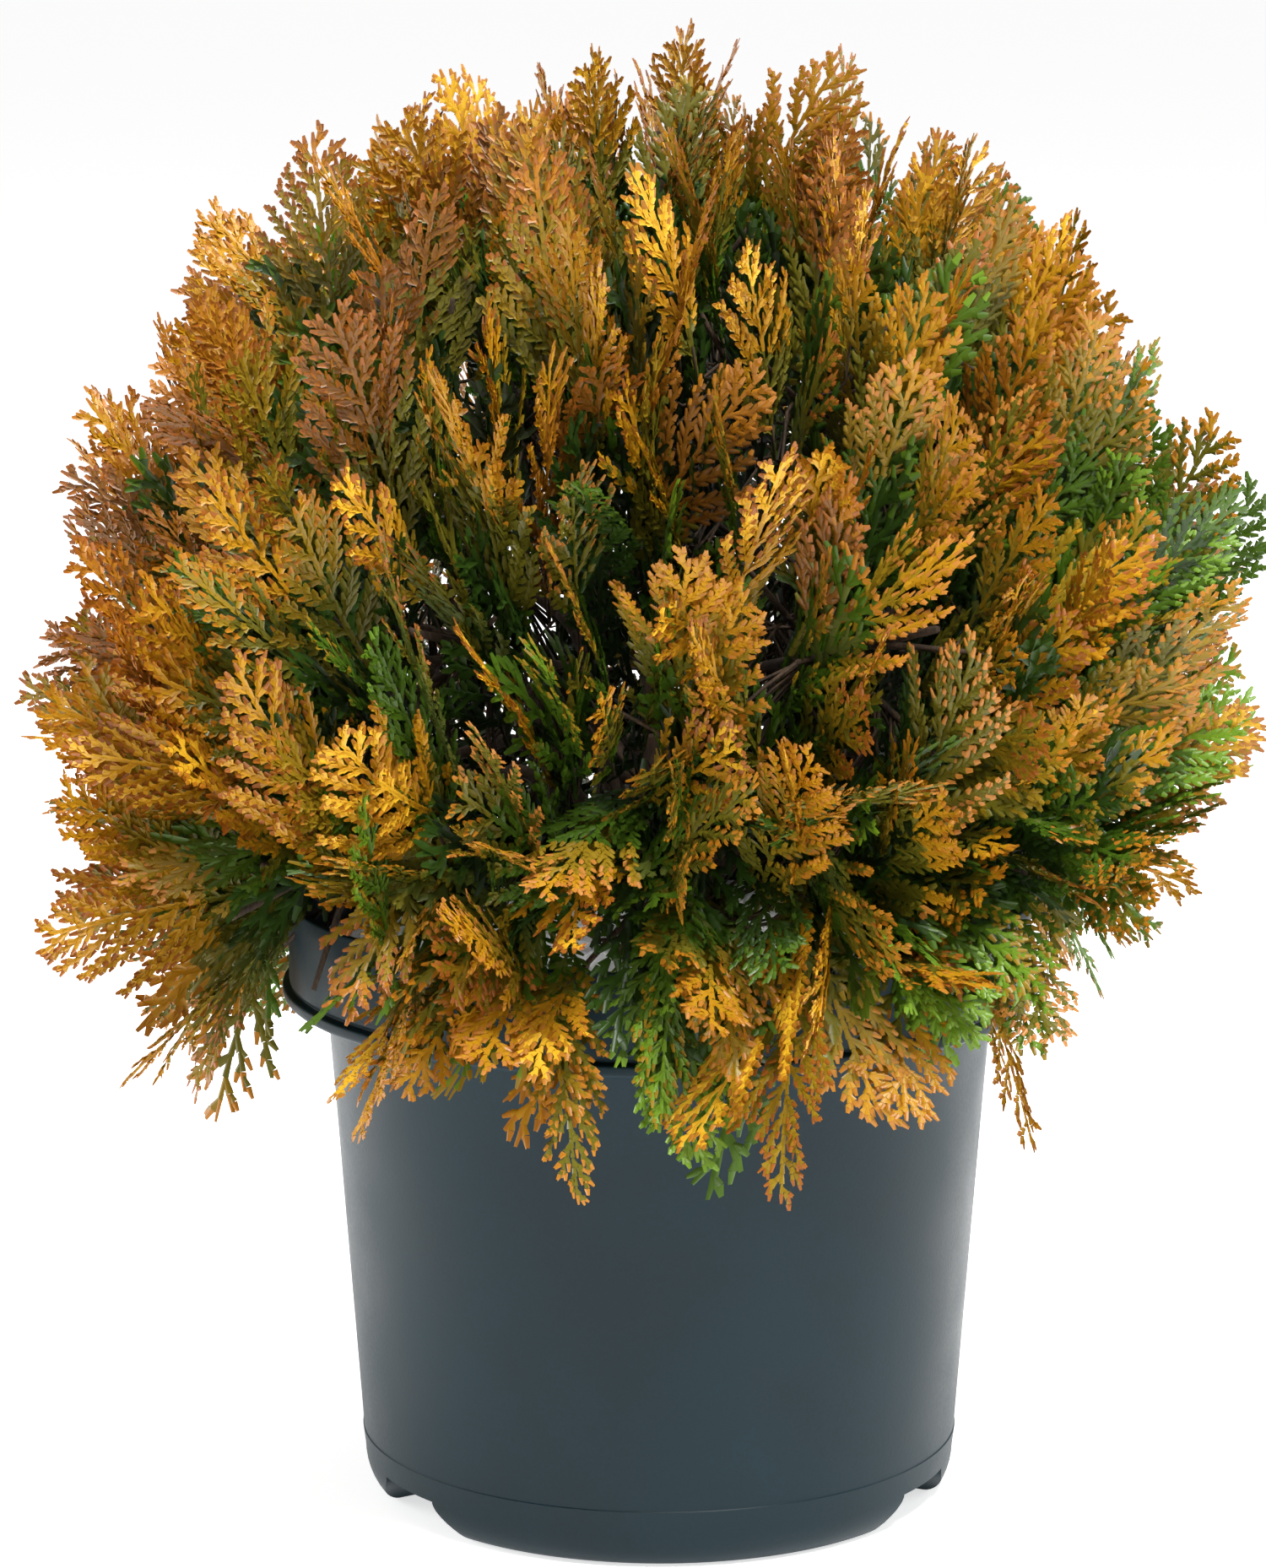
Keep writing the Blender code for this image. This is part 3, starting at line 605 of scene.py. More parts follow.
def cut(piece, cutter):
    deselect_all()
    modifier = piece.modifiers.new("cut", "BOOLEAN")
    modifier.operation = "DIFFERENCE"
    modifier.object = cutter
    modifier.solver = "EXACT"
    bpy.context.view_layer.objects.active = piece
    piece.select_set(True)
    bpy.ops.object.modifier_apply(modifier=modifier.name)
    bpy.data.objects.remove(cutter, do_unlink=True)


def smooth_by_angle(piece, degrees):
    deselect_all()
    bpy.context.view_layer.objects.active = piece
    piece.select_set(True)
    bpy.ops.object.shade_smooth_by_angle(angle=math.radians(degrees))


def build_pot(colour):
    pot = turned("pot_shell", outer_profile(), POT_SIDES)
    cavity = turned("cavity", cavity_profile(0.0, POT_HEIGHT + WALL), POT_SIDES)
    for azimuth in RECESS_AZIMUTHS:
        cut(cavity, recess_cutter(azimuth, WALL))
    cut(pot, cavity)
    for azimuth in RECESS_AZIMUTHS:
        cut(pot, recess_cutter(azimuth, 0.0))
        cut(pot, drain_cutter(azimuth))
    smooth_by_angle(pot, SHARP_EDGE)
    pot.data.materials.append(pot_material(colour))
    finish_piece(pot, "pot_shell", "pot_plastic", "pot")


def build_soil(roughness_height):
    ball = turned("potting_mix", cavity_profile(FIT_GAP, SOIL_TOP), SOIL_SIDES)
    for azimuth in RECESS_AZIMUTHS:
        cut(ball, recess_cutter(azimuth, WALL + FIT_GAP))
    soil = crumbly_material("potting_soil", 0.95, EVEN, SOIL_SKIN, SOIL_TONES)
    ball.data.materials.append(soil)
    shape = bmesh.new()
    shape.from_mesh(ball.data)
    top = [face for face in shape.faces
           if face.normal.z > 0.9 and face.calc_center_median().z > SOIL_TOP - WELD]
    bmesh.ops.delete(shape, geom=top, context="FACES_ONLY")
    shape.to_mesh(ball.data)
    shape.free()
    lumps = soil_surface(roughness_height)
    deselect_all()
    bpy.context.view_layer.objects.active = ball
    lumps.select_set(True)
    ball.select_set(True)
    bpy.ops.object.join()
    bpy.ops.object.mode_set(mode="EDIT")
    bpy.ops.mesh.select_all(action="SELECT")
    bpy.ops.mesh.remove_doubles(threshold=WELD)
    bpy.ops.mesh.normals_make_consistent(inside=False)
    bpy.ops.object.mode_set(mode="OBJECT")
    finish_piece(ball, "potting_mix", "potting_soil", "root_ball")


def soil_surface(roughness_height):
    """The crumbly top of the soil as rings of a fan, lifted by waves but still at the wall."""
    rng = np.random.default_rng(SOIL_SEED)
    outer = LIP_RADIUS - WALL - FIT_GAP
    waves = [(rng.uniform(*WAVE_PITCHES, 2), rng.uniform(*WAVE_PHASES), rng.uniform(*WAVE_SIZES))
             for _ in range(SOIL_WAVES)]
    deselect_all()
    bpy.ops.mesh.primitive_circle_add(
        vertices=SOIL_SIDES, radius=outer, fill_type="NOTHING", location=(0, 0, 0)
    )
    surface = bpy.context.object
    bpy.ops.object.mode_set(mode="EDIT")
    bpy.ops.mesh.select_all(action="SELECT")
    bpy.ops.transform.translate(value=(0.0, 0.0, SOIL_TOP))
    for ring in range(1, SOIL_RINGS):
        share = (SOIL_RINGS - ring) / (SOIL_RINGS - ring + 1)
        bpy.ops.mesh.extrude_region_move(TRANSFORM_OT_translate={"value": (0.0, 0.0, 0.0)})
        bpy.ops.transform.resize(
            value=(share, share, 1.0), center_override=(0.0, 0.0, SOIL_TOP)
        )
    bpy.ops.mesh.edge_face_add()
    bpy.ops.object.mode_set(mode="OBJECT")
    for vertex in surface.data.vertices:
        x, y = vertex.co.x, vertex.co.y
        radius = math.hypot(x, y)
        if radius > outer - STILL_EDGE:
            continue
        lift = sum(size * math.sin(pitch[0] * x + pitch[1] * y + phase)
                   for pitch, phase, size in waves)
        vertex.co.z += roughness_height * lift * WAVE_SHARE
    return surface


# Limbs

def azimuth_direction(azimuth):
    turn = math.radians(azimuth)
    return np.array((math.sin(turn), -math.cos(turn), 0.0))


def direction(azimuth, elevation):
    rise = math.radians(elevation)
    return azimuth_direction(azimuth) * math.cos(rise) + UP * math.sin(rise)


def unit(vector):
    return vector / np.linalg.norm(vector)


def trunk_axis(height):
    rise = (height - SOIL_TOP) / (TRUNK_TOP - SOIL_TOP)
    return np.array((0.0, 0.0, height)) + TRUNK_LEAN * rise * rise


def trunk_radius(height):
    rise = (height - SOIL_TOP) / (TRUNK_TOP - SOIL_TOP)
    flare = max(0.0, 1 - (height - SOIL_TOP) / FLARE_HEIGHT) ** 2
    straight = TRUNK_FOOT_RADIUS + (TRUNK_TOP_RADIUS - TRUNK_FOOT_RADIUS) * rise
    return straight + (FLARE_RADIUS - TRUNK_FOOT_RADIUS) * flare


def tube(points, radii, sides, relief=0.0, seed=0):
    """Rings round a line of points as (places, quads, caps), with stringy relief along it."""
    points = np.asarray(points, float)
    along = np.gradient(points, axis=0)
    along /= np.linalg.norm(along, axis=1, keepdims=True)
    guide = np.array((0.9, 0.1, 0.2)) if abs(along[0][2]) > 0.7 else UP
    side = np.cross(along, guide)
    side /= np.linalg.norm(side, axis=1, keepdims=True)
    other = np.cross(along, side)
    turn = np.linspace(0, 2 * math.pi, sides, endpoint=False)
    rng = np.random.default_rng(seed)
    string = np.zeros((len(points), sides))
    for lobes in STRING_LOBES:
        drift = np.cumsum(rng.normal(0, STRING_DRIFT, len(points)))
        phase = lobes * turn[None, :] + drift[:, None] + rng.uniform(*STRING_PHASES)
        string += np.sin(phase) / lobes**STRING_FADE
    radius = np.asarray(radii)[:, None] * (1 + relief * string)
    places = (
        points[:, None, :]
        + side[:, None, :] * (radius * np.cos(turn))[:, :, None]
        + other[:, None, :] * (radius * np.sin(turn))[:, :, None]
    ).reshape(-1, 3)
    quads = []
    for ring in range(len(points) - 1):
        for step in range(sides):
            after = (step + 1) % sides
            base = ring * sides
            quads.append((base + step, base + after, base + sides + after, base + sides + step))
    caps = [tuple(range(sides))[::-1],
            tuple((len(points) - 1) * sides + step for step in range(sides))]
    return places, quads, caps


def join_tubes(name, tubes):
    places, faces, start = [], [], 0
    for spots, quads, caps in tubes:
        places.append(spots)
        faces += [tuple(start + corner for corner in face) for face in (*quads, *caps)]
        start += len(spots)
    mesh = bpy.data.meshes.new(name)
    mesh.from_pydata(np.vstack(places).tolist(), [], faces)
    shape = bmesh.new()
    shape.from_mesh(mesh)
    bmesh.ops.recalc_face_normals(shape, faces=shape.faces)
    shape.to_mesh(mesh)
    shape.free()
    mesh.shade_smooth()
    piece = bpy.data.objects.new(name, mesh)
    bpy.context.scene.collection.objects.link(piece)
    return piece


def curve(foot, first, second, tip, steps):
    """Points along a cubic curve from foot to tip, with two guide points."""
    t = np.linspace(0, 1, steps)[:, None]
    s = 1 - t
    return foot * s**3 + first * (3 * s * s * t) + second * (3 * s * t * t) + tip * t**3


def bough_line(mass):
    if mass["ring"] == "top":
        foot, away = trunk_axis(TRUNK_TOP), UP
    else:
        height = BOUGH_START_Z[mass["ring"]]
        away = azimuth_direction(mass["azimuth"])
        foot = trunk_axis(height) + away * trunk_radius(height) * BOUGH_SINK
    tip = CROWN_CENTRE + mass["axis"] * INNER_REACH
    pull = np.linalg.norm(tip - foot) * BOUGH_PULL
    return curve(foot, foot + away * pull, tip - mass["axis"] * pull, tip, BOUGH_RINGS)


# Crown, by the same rule as the solids

def plan_masses():
    masses = []
    for ring, elevation, half_height, half_width, first, names in RINGS:
        for index, name in enumerate(names):
            azimuth = first + 360.0 * index / len(names)
            axis = direction(azimuth, elevation)
            across = azimuth_direction(azimuth + 90.0)
            masses.append({
                "name": f"{ring}_{name}",
                "ring": ring,
                "azimuth": azimuth,
                "axis": axis,
                "across": across,
                "upward": unit(np.cross(across, axis)),
                "half_height": math.tan(math.radians(half_height)),
                "half_width": math.tan(math.radians(half_width)),
                "colour": RING_COLOURS[ring][index],
            })
    return masses


def side_blend(reaches, way):
    side = reaches["right"] if way[0] > 0 else reaches["left"]
    depth = reaches["back"] if way[1] > 0 else reaches["front"]
    level = way[0] ** 2 + way[1] ** 2
    share = way[0] ** 2 / level if level > 1e-9 else 0.0
    return side * share + depth * (1 - share)


def space_depth(offset, mass, masses):
    depth = math.inf
    for other in masses:
        if other is not mass:
            apart = mass["axis"] - other["axis"]
            depth = min(depth, float(offset @ apart) / float(np.linalg.norm(apart)))
    return depth


def crown_reach(way, mass, masses):
    reach = side_blend(LEVEL_REACH, way)
    if way[2] > 0:
        reach += (REACH_TOP - reach) * way[2] ** 2
    else:
        low = min(1.0, -way[2] / math.sin(math.radians(LOW_ELEVATION)))
        reach += (side_blend(LOW_REACH, way) - reach) * low * low * (3 - 2 * low)
    middle = min(1.0, max(0.0, space_depth(way, mass, masses)) / FULL_DEPTH)
    return reach * (1 - OUTLINE_DIP * (1 - middle))


def aim_of(mass, index, count, widen):
    """One of the directions spread evenly over the outer face of a mass, and its spread."""
    spread = math.sqrt((index + 0.5) / count) * widen
    turn = index * GOLDEN_ANGLE + math.radians(mass["azimuth"])
    aim = mass["axis"] + mass["across"] * (mass["half_width"] * spread * math.cos(turn))
    aim = unit(aim + mass["upward"] * (mass["half_height"] * spread * math.sin(turn)))
    return aim, spread


def aims_over(mass, masses, count):
    """The directions of a mass's sprays, as far as they stand in its own space."""
    aims = [aim_of(mass, index, count, CELL_SPREAD)[0] for index in range(count)]
    return [aim for aim in aims if space_depth(aim, mass, masses) > CELL_MARGIN]


def main_twigs(mass, masses):
    """The stem of a mass and the five twigs that leave it."""
    start = CROWN_CENTRE + mass["axis"] * INNER_REACH
    reach = crown_reach(mass["axis"], mass, masses)
    end = CROWN_CENTRE + mass["axis"] * (reach - STEM_STOPS_SHORT)
    twigs = []
    for index in range(TWIGS):
        aim, spread = aim_of(mass, index, TWIGS, 1.0)
        share = FIRST_TWIG + (LAST_TWIG - FIRST_TWIG) * (1 - spread)
        foot = start + (end - start) * share
        tip = CROWN_CENTRE + aim * (crown_reach(aim, mass, masses) - TWIG_STOPS_SHORT)
        twigs.append((foot, tip))
    return (start, end), twigs


# Sprays: flat fans of scale-leaved cords

def cord(pairs, foot, heading, slope, length, width, curl, pair_length):
    """Adds a cord's scale pairs, each narrow at its foot and wide at its tip, the last one round."""
    count = max(2, round(length / pair_length))
    step = length / count
    place = np.array(foot, float)
    for index in range(count):
        ahead = place + step * np.array((math.cos(heading), math.sin(heading), slope))
        last = index == count - 1
        taper = width * (1.0 - CORD_TAPER * index / count)
        start, end = PAIR_WIDTHS if not last else LAST_PAIR_WIDTHS
        pairs.append((*place, *ahead, taper * start, taper * end, heading, float(last)))
        place = ahead
        heading += curl / count


def side_cords(pairs, root, side, heading, slope, bend, reach, form, rng):
    """A side cord of a spray, with its own short cords on alternate sides."""
    cord(pairs, root, heading, slope, reach, form["width"], bend, form["pair"])
    count = int(reach / form["cord_step"])
    spot, turn = root.copy(), heading
    for order in range(1, count):
        step = reach / count
        spot = spot + step * np.array((math.cos(turn), math.sin(turn), slope))
        turn += bend / count
        flip = side * (1 if order % 2 else -1)
        left = 1 - order / count
        size = (form["short"] + form["long"] * left) * rng.uniform(*SHORT_LENGTHS)
        size = min(size, reach * SHORT_MOST)
        if size < form["least"]:
            continue
        cord(
            pairs, spot, turn + flip * math.radians(rng.uniform(*SHORT_ANGLES)),
            slope + rng.normal(0, SHORT_SLOPE), size, form["width"] * SHORT_WIDTH,
            -flip * rng.uniform(*SHORT_BENDS), form["pair"],
        )


def spray_variant(rng, length, fullness, form):
    """One flat spray of a library: the corners of its scale pairs, and which end a cord."""
    pairs = []
    curl = rng.uniform(-RIB_CURL, RIB_CURL)
    steps = max(FEWEST_SIDES, round(length / form["side_step"]))
    step = length / steps
    cord(pairs, (0.0, 0.0, 0.0), 0.0, 0.0, length, form["width"], curl, form["pair"] * RIB_PAIR)
    place, heading = np.zeros(3), 0.0
    for index in range(1, steps):
        place = place + step * np.array((math.cos(heading), math.sin(heading), 0.0))
        heading += curl / steps
        share = index / steps
        if share < BARE_FOOT:
            continue
        side = 1 if index % 2 else -1
        swell = math.sin(math.pi / 2 * min(1.0, (share + SWELL_LEAD) / SWELL_SHARE))
        fade = min(1.0, (1.0 - share) / FADE_SHARE)
        reach = length * fullness * (SIDE_LEAST + SIDE_SPAN * swell * fade)
        reach *= rng.uniform(*SIDE_LENGTHS)
        way = heading + side * math.radians(rng.uniform(*SIDE_ANGLES))
        bend = -side * rng.uniform(*SIDE_BENDS)
        side_cords(pairs, place, side, way, rng.normal(0, SIDE_SLOPE), bend, reach, form, rng)
    rows = np.array(pairs)
    return {"places": pair_corners(rows, rng), "last": rows[:, 9] > 0.5, "length": length}


def pair_corners(rows, rng):
    """Six corners of each scale pair: left, ridge and right at its foot and at its tip."""
    side = np.stack((-np.sin(rows[:, 8]), np.cos(rows[:, 8])), axis=1)
    tilt = rng.normal(0, PAIR_TILT, len(rows))
    places = np.zeros((len(rows), 6, 3))
    for end, (first, width) in enumerate(((0, 6), (3, 7))):
        half = rows[:, width] / 2
        for corner, share in enumerate((1.0, 0.0, -1.0)):
            spot = places[:, 3 * end + corner]
            spot[:, :2] = rows[:, first:first + 2] + side * (half * share)[:, None]
            spot[:, 2] = rows[:, first + 2] + share * tilt * half
            if corner == 1:
                spot[:, 2] += half * RIDGE_RISE
    return places


def spray_library(rng, lengths, form):
    return [
        spray_variant(rng, length, fullness, form)
        for length in lengths for fullness in FULLNESSES
    ]


def place_spray(variant, foot, along, normal, bend, sway):
    """The spray's corners where it stands, bent out of its plane and swayed within it."""
    x = unit(along)
    z = unit(normal - x * float(normal @ x))
    y = np.cross(z, x)
    local = variant["places"].copy()
    run = local[:, :, 0] / variant["length"]
    local[:, :, 2] += bend * variant["length"] * run**2
    local[:, :, 2] += SPRAY_CUP * np.abs(local[:, :, 1]) ** 2 / variant["length"] * np.sign(bend)
    local[:, :, 1] += sway * variant["length"] * run**2
    return foot + local @ np.stack((x, y, z))


def bares_rim(places):
    """True for a spray that would hang over the rim where the photograph shows it bare."""
    middle = places.reshape(-1, 3).mean(axis=0)
    azimuth = math.degrees(math.atan2(middle[0], -middle[1]))
    low = places[..., 2].min() < POT_HEIGHT - BARE_RIM_DROP
    return low and any(first < azimuth < last for first, last in BARE_RIM)


def draw_inside(places, aim, reach):
    """The move inwards that brings a spray's furthest tip to the given reach."""
    offset = places - CROWN_CENTRE
    excess = float(np.sqrt((offset**2).sum(axis=-1)).max()) - reach - TIP_OVERREACH
    return -aim * max(0.0, excess)


def off_rim(places):
    """The level move that brings a spray which would cross the rim to the rim's outside."""
    radius = np.hypot(places[..., 0], places[..., 1])
    crossing = (places[..., 2] < POT_HEIGHT + RIM_CLEARANCE) & (radius > MOUTH_RADIUS)
    gap = BEAD_RADIUS + RIM_CLEARANCE - radius[crossing]
    middle = places.reshape(-1, 3).mean(axis=0)
    middle[2] = 0.0
    return unit(middle) * float(gap.max(initial=0.0))


def keep_off_pot(places):
    """Presses what would enter the pot against the outside of its rim, or up over its mouth."""
    clear, top = BEAD_RADIUS + RIM_CLEARANCE, POT_HEIGHT + RIM_CLEARANCE
    radius = np.hypot(places[..., 0], places[..., 1])
    low = places[..., 2] < top
    hanging = low & (radius < clear) & (radius > MOUTH_RADIUS)
    pressed = clear - (clear - radius) * RIM_PRESS
    push = np.where(hanging, pressed / np.maximum(radius, 1e-6), 1.0)
    places[..., :2] *= push[..., None]
    lifted = top - (top - places[..., 2]) * RIM_PRESS
    places[..., 2] = np.where(low & (radius <= MOUTH_RADIUS), lifted, places[..., 2])
    return places


def pick(rng, choices):
    """One of the names, each as often as its share says."""
    mark = rng.random()
    for name, share in choices:
        mark -= share
        if mark <= 0:
            return name
    return choices[-1][0]


def growth_way(aim, rng):
    """Which way a spray's rib runs at a place of the crown: out, and up or down by height."""
    level_lift, change = HIGH_LIFT if aim[2] > 0 else LOW_LIFT
    lift = level_lift + change * aim[2]
    return unit(aim * GROWTH_OUT + UP * lift + rng.normal(0, GROWTH_WANDER, 3))


def blade_normal(aim, way, rng):
    """Most sprays stand in upright planes that radiate from the trunk, and many low ones face out."""
    level = np.cross(way, UP)
    if np.linalg.norm(level) < NEARLY_UPRIGHT:
        level = azimuth_direction(math.degrees(rng.uniform(0, 2 * math.pi)))
    level = unit(level)
    other = np.cross(level, way)
    share, loss = FACES_OUT
    faces_out = rng.random() < np.clip(share - loss * aim[2], *FACES_OUT_RANGE)
    roll = rng.normal(math.pi / 2 if faces_out else 0.0, BLADE_ROLL)
    return level * math.cos(roll) + other * math.sin(roll)


def spray_tints(places, last, reach, ramp, rng):
    """Tint of each scale pair, greener, and darker as painted shade, the deeper it stands in the
    crown.
    """
    depth = np.linalg.norm(places.mean(axis=1) - CROWN_CENTRE, axis=1) / reach
    depth += rng.normal(0, TINT_WANDER) + rng.normal(0, TINT_GRAIN, len(depth))
    part = np.digitize(depth, TINT_DEPTHS)
    part = np.where(last & (depth > TIP_DEPTH), len(ramp) - 1, part)
    return np.array([TINT_NAMES.index(name) for name in ramp])[part]


def grow_spray(aim, mass, masses, library, depth, kinds, rng):
    """A spray whose tip heads for the outline at an aim, or None where it may not be."""
    variant = library[rng.integers(len(library))]
    way = growth_way(aim, rng)
    full_reach = crown_reach(aim, mass, masses)
    reach = full_reach * rng.uniform(*depth)
    tip = CROWN_CENTRE + aim * reach
    tip[2] = max(tip[2], LOWEST_TIP + TIP_LIFT)
    foot = tip - way * variant["length"] * RIB_INSIDE
    normal = blade_normal(aim, way, rng)
    bend, sway = rng.normal(0, SPRAY_BEND), rng.normal(0, SPRAY_BEND)
    places = place_spray(variant, foot, way, normal, bend, sway)
    shift = draw_inside(places, aim, reach)
    places += shift
    away = off_rim(places)
    if np.linalg.norm(away) > RIM_MOVE or places[..., 2].min() < LOWEST_TIP - SIDE_DROP:
        return None
    places += away
    if bares_rim(places):
        return None
    places = keep_off_pot(places)
    ramps = SPRAY_TINTS[pick(rng, kinds)]
    ramp = ramps[rng.integers(len(ramps))]
    tints = spray_tints(places, variant["last"], full_reach, ramp, rng)
    return places, tints, foot + shift + away, way


def grow_mass(mass, masses, layers, rng):
    """All sprays of a mass, with its twigs and the shoots that carry the sprays."""
    stem, twigs = main_twigs(mass, masses)
    lines = [stem, *twigs]
    corners, tints, shoots = [], [], []
    for library, count, depth, kinds in layers:
        for aim in aims_over(mass, masses, count):
            aim = unit(aim + rng.normal(0, AIM_WANDER, 3))
            mix = MIX[kinds or mass["colour"]]
            spray = grow_spray(aim, mass, masses, library, depth, mix, rng)
            if spray is None:
                continue
            places, colours, foot, way = spray
            corners.append(places)
            tints.append(colours)
            shoots.append((foot, way, nearest_line(foot, lines)))
    return np.concatenate(corners), np.concatenate(tints), lines, shoots


def nearest_line(foot, lines):
    """Where a foot's shoot leaves the twig nearest to it, a little below it, and along what."""
    best = None
    for start, end in lines:
        along = end - start
        share = float((foot - start) @ along / (along @ along)) - SHOOT_LEAVES_BELOW
        share = min(1.0, max(0.0, share))
        place = start + along * share
        gap = float(np.linalg.norm(place - foot))
        if best is None or gap < best[0]:
            best = (gap, place, unit(along))
    return best


def spray_piece(name, corners, tints, materials):
    """A mesh of scale pairs, two quads each, which take the material of their tint."""
    pairs = len(corners)
    base = np.arange(pairs)[:, None] * 6
    quads = np.concatenate((base + (0, 1, 4, 3), base + (1, 2, 5, 4)), axis=1).reshape(-1, 4)
    mesh = bpy.data.meshes.new(name)
    mesh.vertices.add(pairs * 6)
    mesh.vertices.foreach_set("co", corners.reshape(-1).astype(np.float32))
    mesh.loops.add(len(quads) * 4)
    mesh.loops.foreach_set("vertex_index", quads.reshape(-1).astype(np.int32))
    mesh.polygons.add(len(quads))
    mesh.polygons.foreach_set("loop_start", (np.arange(len(quads)) * 4).astype(np.int32))
    mesh.polygons.foreach_set("material_index", np.repeat(tints, 2).astype(np.int32))
    for made in materials:
        mesh.materials.append(made)
    mesh.update(calc_edges=True)
    mesh.validate()
    piece = bpy.data.objects.new(name, mesh)
    bpy.context.scene.collection.objects.link(piece)
    return piece


# Settings

class ArborvitaePotSettings(bpy.types.PropertyGroup):
    """Colour of the pot and roughness of the soil."""

    colour: bpy.props.FloatVectorProperty(
        name="Pot colour", description="Colour of the pot's plastic", subtype="COLOR", size=4,
        min=0.0, max=1.0, default=display_colour(18, 38, 45),
    )
    crumbs: bpy.props.FloatProperty(
        name="Crumb height", description="How far the soil's crumbs stand up", unit="LENGTH",
        subtype="DISTANCE", min=0.0, max=0.005, default=0.0022,
    )


class ArborvitaeCrownSettings(bpy.types.PropertyGroup):
    """How many sprays the crown has."""

    outer_sprays: bpy.props.IntProperty(
        name="Outer sprays", description="Aims spread over each mass for its outer sprays",
        min=4, max=200, default=45,
    )
    inner_sprays: bpy.props.IntProperty(
        name="Inner sprays", description="Aims spread over each mass for its shaded sprays",
        min=0, max=200, default=36,
    )
    seed: bpy.props.IntProperty(
        name="Seed", description="Start of the random draws", min=0, default=7,
    )


class ArborvitaeStageSettings(bpy.types.PropertyGroup):
    """Camera and lights."""

    camera_distance: bpy.props.FloatProperty(
        name="Camera distance", description="From the pot's axis", unit="LENGTH",
        subtype="DISTANCE", min=0.5, max=10.0, default=1.5,
    )
    camera_height: bpy.props.FloatProperty(
        name="Camera height", description="Above the floor", unit="LENGTH",
        subtype="DISTANCE", min=0.0, max=3.0, default=0.506,
    )
    camera_pitch: bpy.props.FloatProperty(
        name="Camera pitch", description="Angle below level", unit="ROTATION",
        subtype="ANGLE", default=math.radians(10.92),
    )
    camera_turn: bpy.props.FloatProperty(
        name="Camera turn", description="Angle to the left of the pot's axis", unit="ROTATION",
        subtype="ANGLE", default=math.radians(0.305),
    )
    lens: bpy.props.FloatProperty(
        name="Lens", description="Focal length for a 36 mm frame", unit="CAMERA",
        min=10.0, max=500.0, default=116.5,
    )


# Operators

class ARBORVITAE_OT_pot(bpy.types.Operator):
    """Model the nursery pot with its rim, feet and drain holes"""

    bl_idname = "arborvitae.pot"
    bl_label = "Pot"

    def execute(self, context):
        build_pot(tuple(context.scene.arborvitae_pot.colour))
        return {"FINISHED"}


class ARBORVITAE_OT_soil(bpy.types.Operator):
    """Model the crumbly soil that fills the pot"""

    bl_idname = "arborvitae.soil"
    bl_label = "Soil"

    def execute(self, context):
        build_soil(context.scene.arborvitae_pot.crumbs)
        return {"FINISHED"}


class ARBORVITAE_OT_limbs(bpy.types.Operator):
    """Model the trunk and the boughs with stringy bark"""

    bl_idname = "arborvitae.limbs"
    bl_label = "Trunk and boughs"

    def execute(self, context):
        bark = crumbly_material("stringy_bark", 0.85, STRINGY, BARK_SKIN, BARK_TONES)
        heights = np.linspace(SOIL_TOP + FIT_GAP, TRUNK_TOP, TRUNK_RINGS)
        line = [trunk_axis(height) for height in heights]
        radii = [trunk_radius(height) for height in heights]
        stem = tube(line, radii, TRUNK_SIDES, TRUNK_RELIEF, TRUNK_SEED)
        trunk = join_tubes("trunk_bark", [stem])
        trunk.data.materials.append(bark)
        finish_piece(trunk, "trunk_bark", "bark", "trunk")
        tubes, names = [], []
        radii = np.linspace(BOUGH_FOOT_RADIUS, BOUGH_TIP_RADIUS, BOUGH_RINGS)
        for index, mass in enumerate(plan_masses()):
            seed = BOUGH_SEED + index
            tubes.append(tube(bough_line(mass), radii, BOUGH_SIDES, BOUGH_RELIEF, seed))
            names.append(f"bough_{mass['name']}")
        boughs = join_tubes("boughs_bark", tubes)
        boughs.data.materials.append(bark)
        finish_piece(boughs, "boughs_bark", "bark", *names)
        return {"FINISHED"}


class ARBORVITAE_OT_foliage(bpy.types.Operator):
    """Grow the twigs and the scale-leaved sprays of every mass"""

    bl_idname = "arborvitae.foliage"
    bl_label = "Twigs and sprays"

    def execute(self, context):
        settings = context.scene.arborvitae_crown
        rng = np.random.default_rng(settings.seed)
        masses = plan_masses()
        full = spray_library(rng, FULL_LENGTHS, FULL_FORM)
        plain = spray_library(rng, PLAIN_LENGTHS, PLAIN_FORM)
        layers = (
            (full, settings.outer_sprays, OUTER_DEPTH, None),
            # The inner sprays take the dark tints of painted shade
            (plain, settings.inner_sprays, INNER_DEPTH, "shade"),
        )
        materials = [
            new_material(f"foliage_{name}", display_colour(*tint), FOLIAGE_ROUGHNESS)
            for name, tint in TINTS.items()
        ]
        tubes = []
        for mass in masses:
            corners, tints, lines, shoots = grow_mass(mass, masses, layers, rng)
            piece = spray_piece(f"sprays_{mass['name']}", corners, tints, materials)
            slot = f"foliage_{mass['colour']}"
            finish_piece(piece, f"sprays_{mass['name']}", slot, f"foliage_{mass['name']}")
            tubes += twig_tubes(lines, shoots)
        twigs = join_tubes("twigs", tubes)
        twigs.data.materials.append(bpy.data.materials["stringy_bark"])
        finish_piece(twigs, "twigs", "bark")
        return {"FINISHED"}


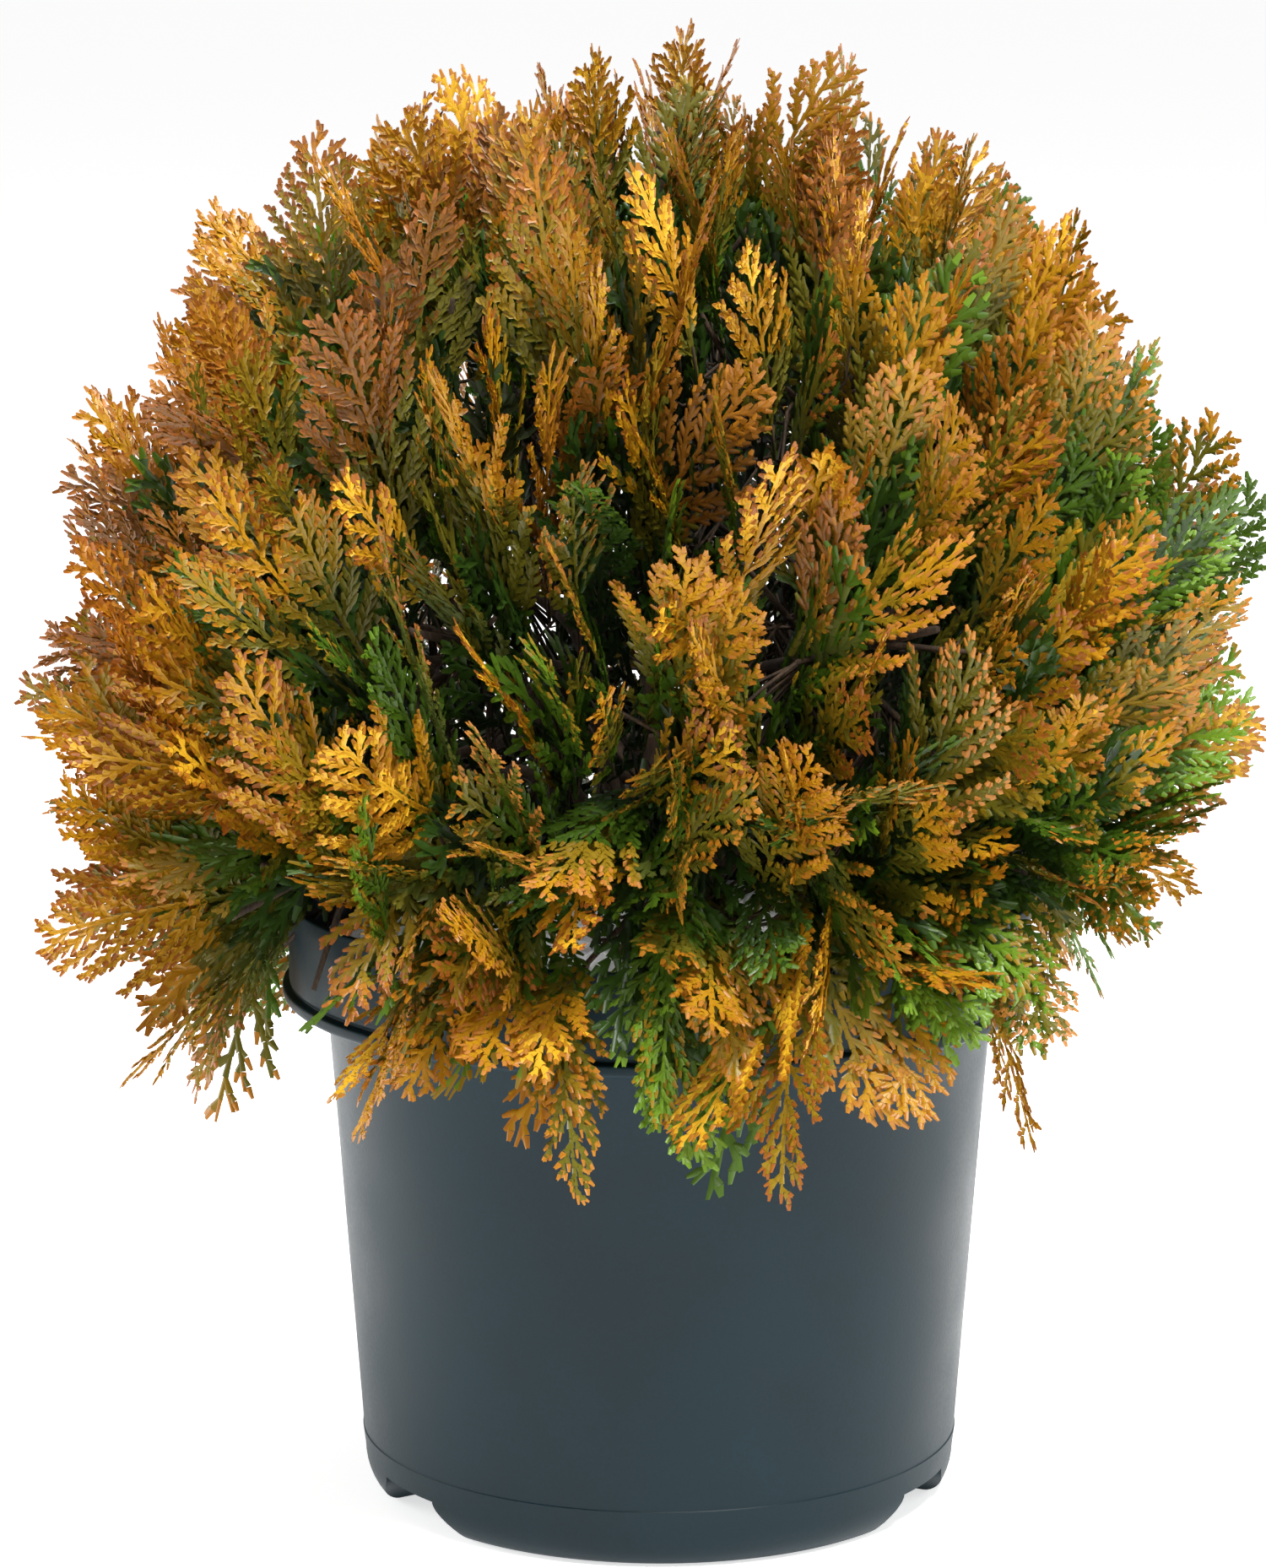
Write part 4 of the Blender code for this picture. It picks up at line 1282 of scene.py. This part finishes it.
def twig_tubes(lines, shoots):
    """The stem and twigs of a mass, and a curved shoot from them to the foot of each spray."""
    tubes = []
    for index, (start, end) in enumerate(lines):
        thick = STEM_RADIUS if index == 0 else TWIG_RADIUS
        line = [start + (end - start) * share for share in np.linspace(0, 1, TWIG_RINGS)]
        radii = np.linspace(thick, thick * LIMB_TAPER, TWIG_RINGS)
        tubes.append(tube(line, radii, TWIG_SIDES))
    radii = np.linspace(SHOOT_RADIUS, SHOOT_RADIUS * LIMB_TAPER, TWIG_RINGS + 1)
    for foot, way, (gap, leave, along) in shoots:
        pull = gap * SHOOT_PULL
        line = curve(leave, leave + along * pull, foot - way * pull, foot, TWIG_RINGS)
        line = np.vstack((line, foot + way * SHOOT_RUN))
        tubes.append(tube(line, radii, SHOOT_SIDES))
    return tubes


class ARBORVITAE_OT_stage(bpy.types.Operator):
    """Set the pale floor, the soft lights and the camera"""

    bl_idname = "arborvitae.stage"
    bl_label = "Stage"

    def execute(self, context):
        build_stage(context.scene)
        return {"FINISHED"}


def add_area_light(name, place, target, size, power):
    data = bpy.data.lights.new(name, "AREA")
    data.shape = "DISK"
    data.size = size
    data.energy = power
    light = bpy.data.objects.new(name, data)
    light.location = place
    aim = Vector(target) - Vector(place)
    light.rotation_euler = aim.to_track_quat("-Z", "Y").to_euler()
    bpy.context.scene.collection.objects.link(light)


def build_stage(scene):
    deselect_all()
    bpy.ops.mesh.primitive_plane_add(size=FLOOR_SIZE)
    floor = bpy.context.object
    floor.name = "floor"
    pale = new_material("pale_floor", grey(FLOOR_WHITE), FLOOR_ROUGHNESS)
    shader = pale.node_tree.nodes["Principled BSDF"]
    shader.inputs["Emission Color"].default_value = grey(1.0)
    shader.inputs["Emission Strength"].default_value = FLOOR_GLOW
    floor.data.materials.append(pale)
    world = bpy.data.worlds.new("studio")
    world.use_nodes = True
    background = world.node_tree.nodes["Background"]
    background.inputs["Color"].default_value = grey(1.0)
    background.inputs["Strength"].default_value = STUDIO_GLOW
    scene.world = world
    for name, light in LIGHTS.items():
        add_area_light(name, *light)
    settings = scene.arborvitae_stage
    data = bpy.data.cameras.new("camera")
    data.sensor_width = SENSOR_WIDTH
    data.lens = settings.lens
    camera = bpy.data.objects.new("camera", data)
    camera.location = (0.0, -settings.camera_distance, settings.camera_height)
    camera.rotation_euler = (math.pi / 2 - settings.camera_pitch, 0.0, settings.camera_turn)
    scene.collection.objects.link(camera)
    scene.camera = camera
    scene.view_settings.view_transform = "Standard"


class ARBORVITAE_PT_pieces(bpy.types.Panel):
    """Lists the pieces of the plant and its stage"""

    bl_idname = "ARBORVITAE_PT_pieces"
    bl_label = "Potted arborvitae"
    bl_space_type = "VIEW_3D"
    bl_region_type = "UI"
    bl_category = "Arborvitae"

    def draw(self, context):
        layout = self.layout
        scene = context.scene
        for settings, names in (
            (scene.arborvitae_pot, ("colour", "crumbs")),
            (scene.arborvitae_crown, ("outer_sprays", "inner_sprays", "seed")),
            (scene.arborvitae_stage, ("camera_distance", "camera_height", "lens")),
        ):
            column = layout.column(align=True)
            for name in names:
                column.prop(settings, name)
        for operator in OPERATORS:
            layout.operator(operator.bl_idname)


SETTINGS = {
    "arborvitae_pot": ArborvitaePotSettings,
    "arborvitae_crown": ArborvitaeCrownSettings,
    "arborvitae_stage": ArborvitaeStageSettings,
}
OPERATORS = (
    ARBORVITAE_OT_stage,
    ARBORVITAE_OT_pot,
    ARBORVITAE_OT_soil,
    ARBORVITAE_OT_limbs,
    ARBORVITAE_OT_foliage,
)
CLASSES = (*SETTINGS.values(), *OPERATORS, ARBORVITAE_PT_pieces)


def register():
    for made in CLASSES:
        bpy.utils.register_class(made)
    for name, made in SETTINGS.items():
        setattr(bpy.types.Scene, name, bpy.props.PointerProperty(type=made))


def unregister():
    for name in SETTINGS:
        delattr(bpy.types.Scene, name)
    for made in reversed(CLASSES):
        bpy.utils.unregister_class(made)


def main():
    register()
    bpy.ops.arborvitae.stage()
    bpy.ops.arborvitae.pot()
    bpy.ops.arborvitae.soil()
    bpy.ops.arborvitae.limbs()
    bpy.ops.arborvitae.foliage()


if __name__ == "__main__":
    main()
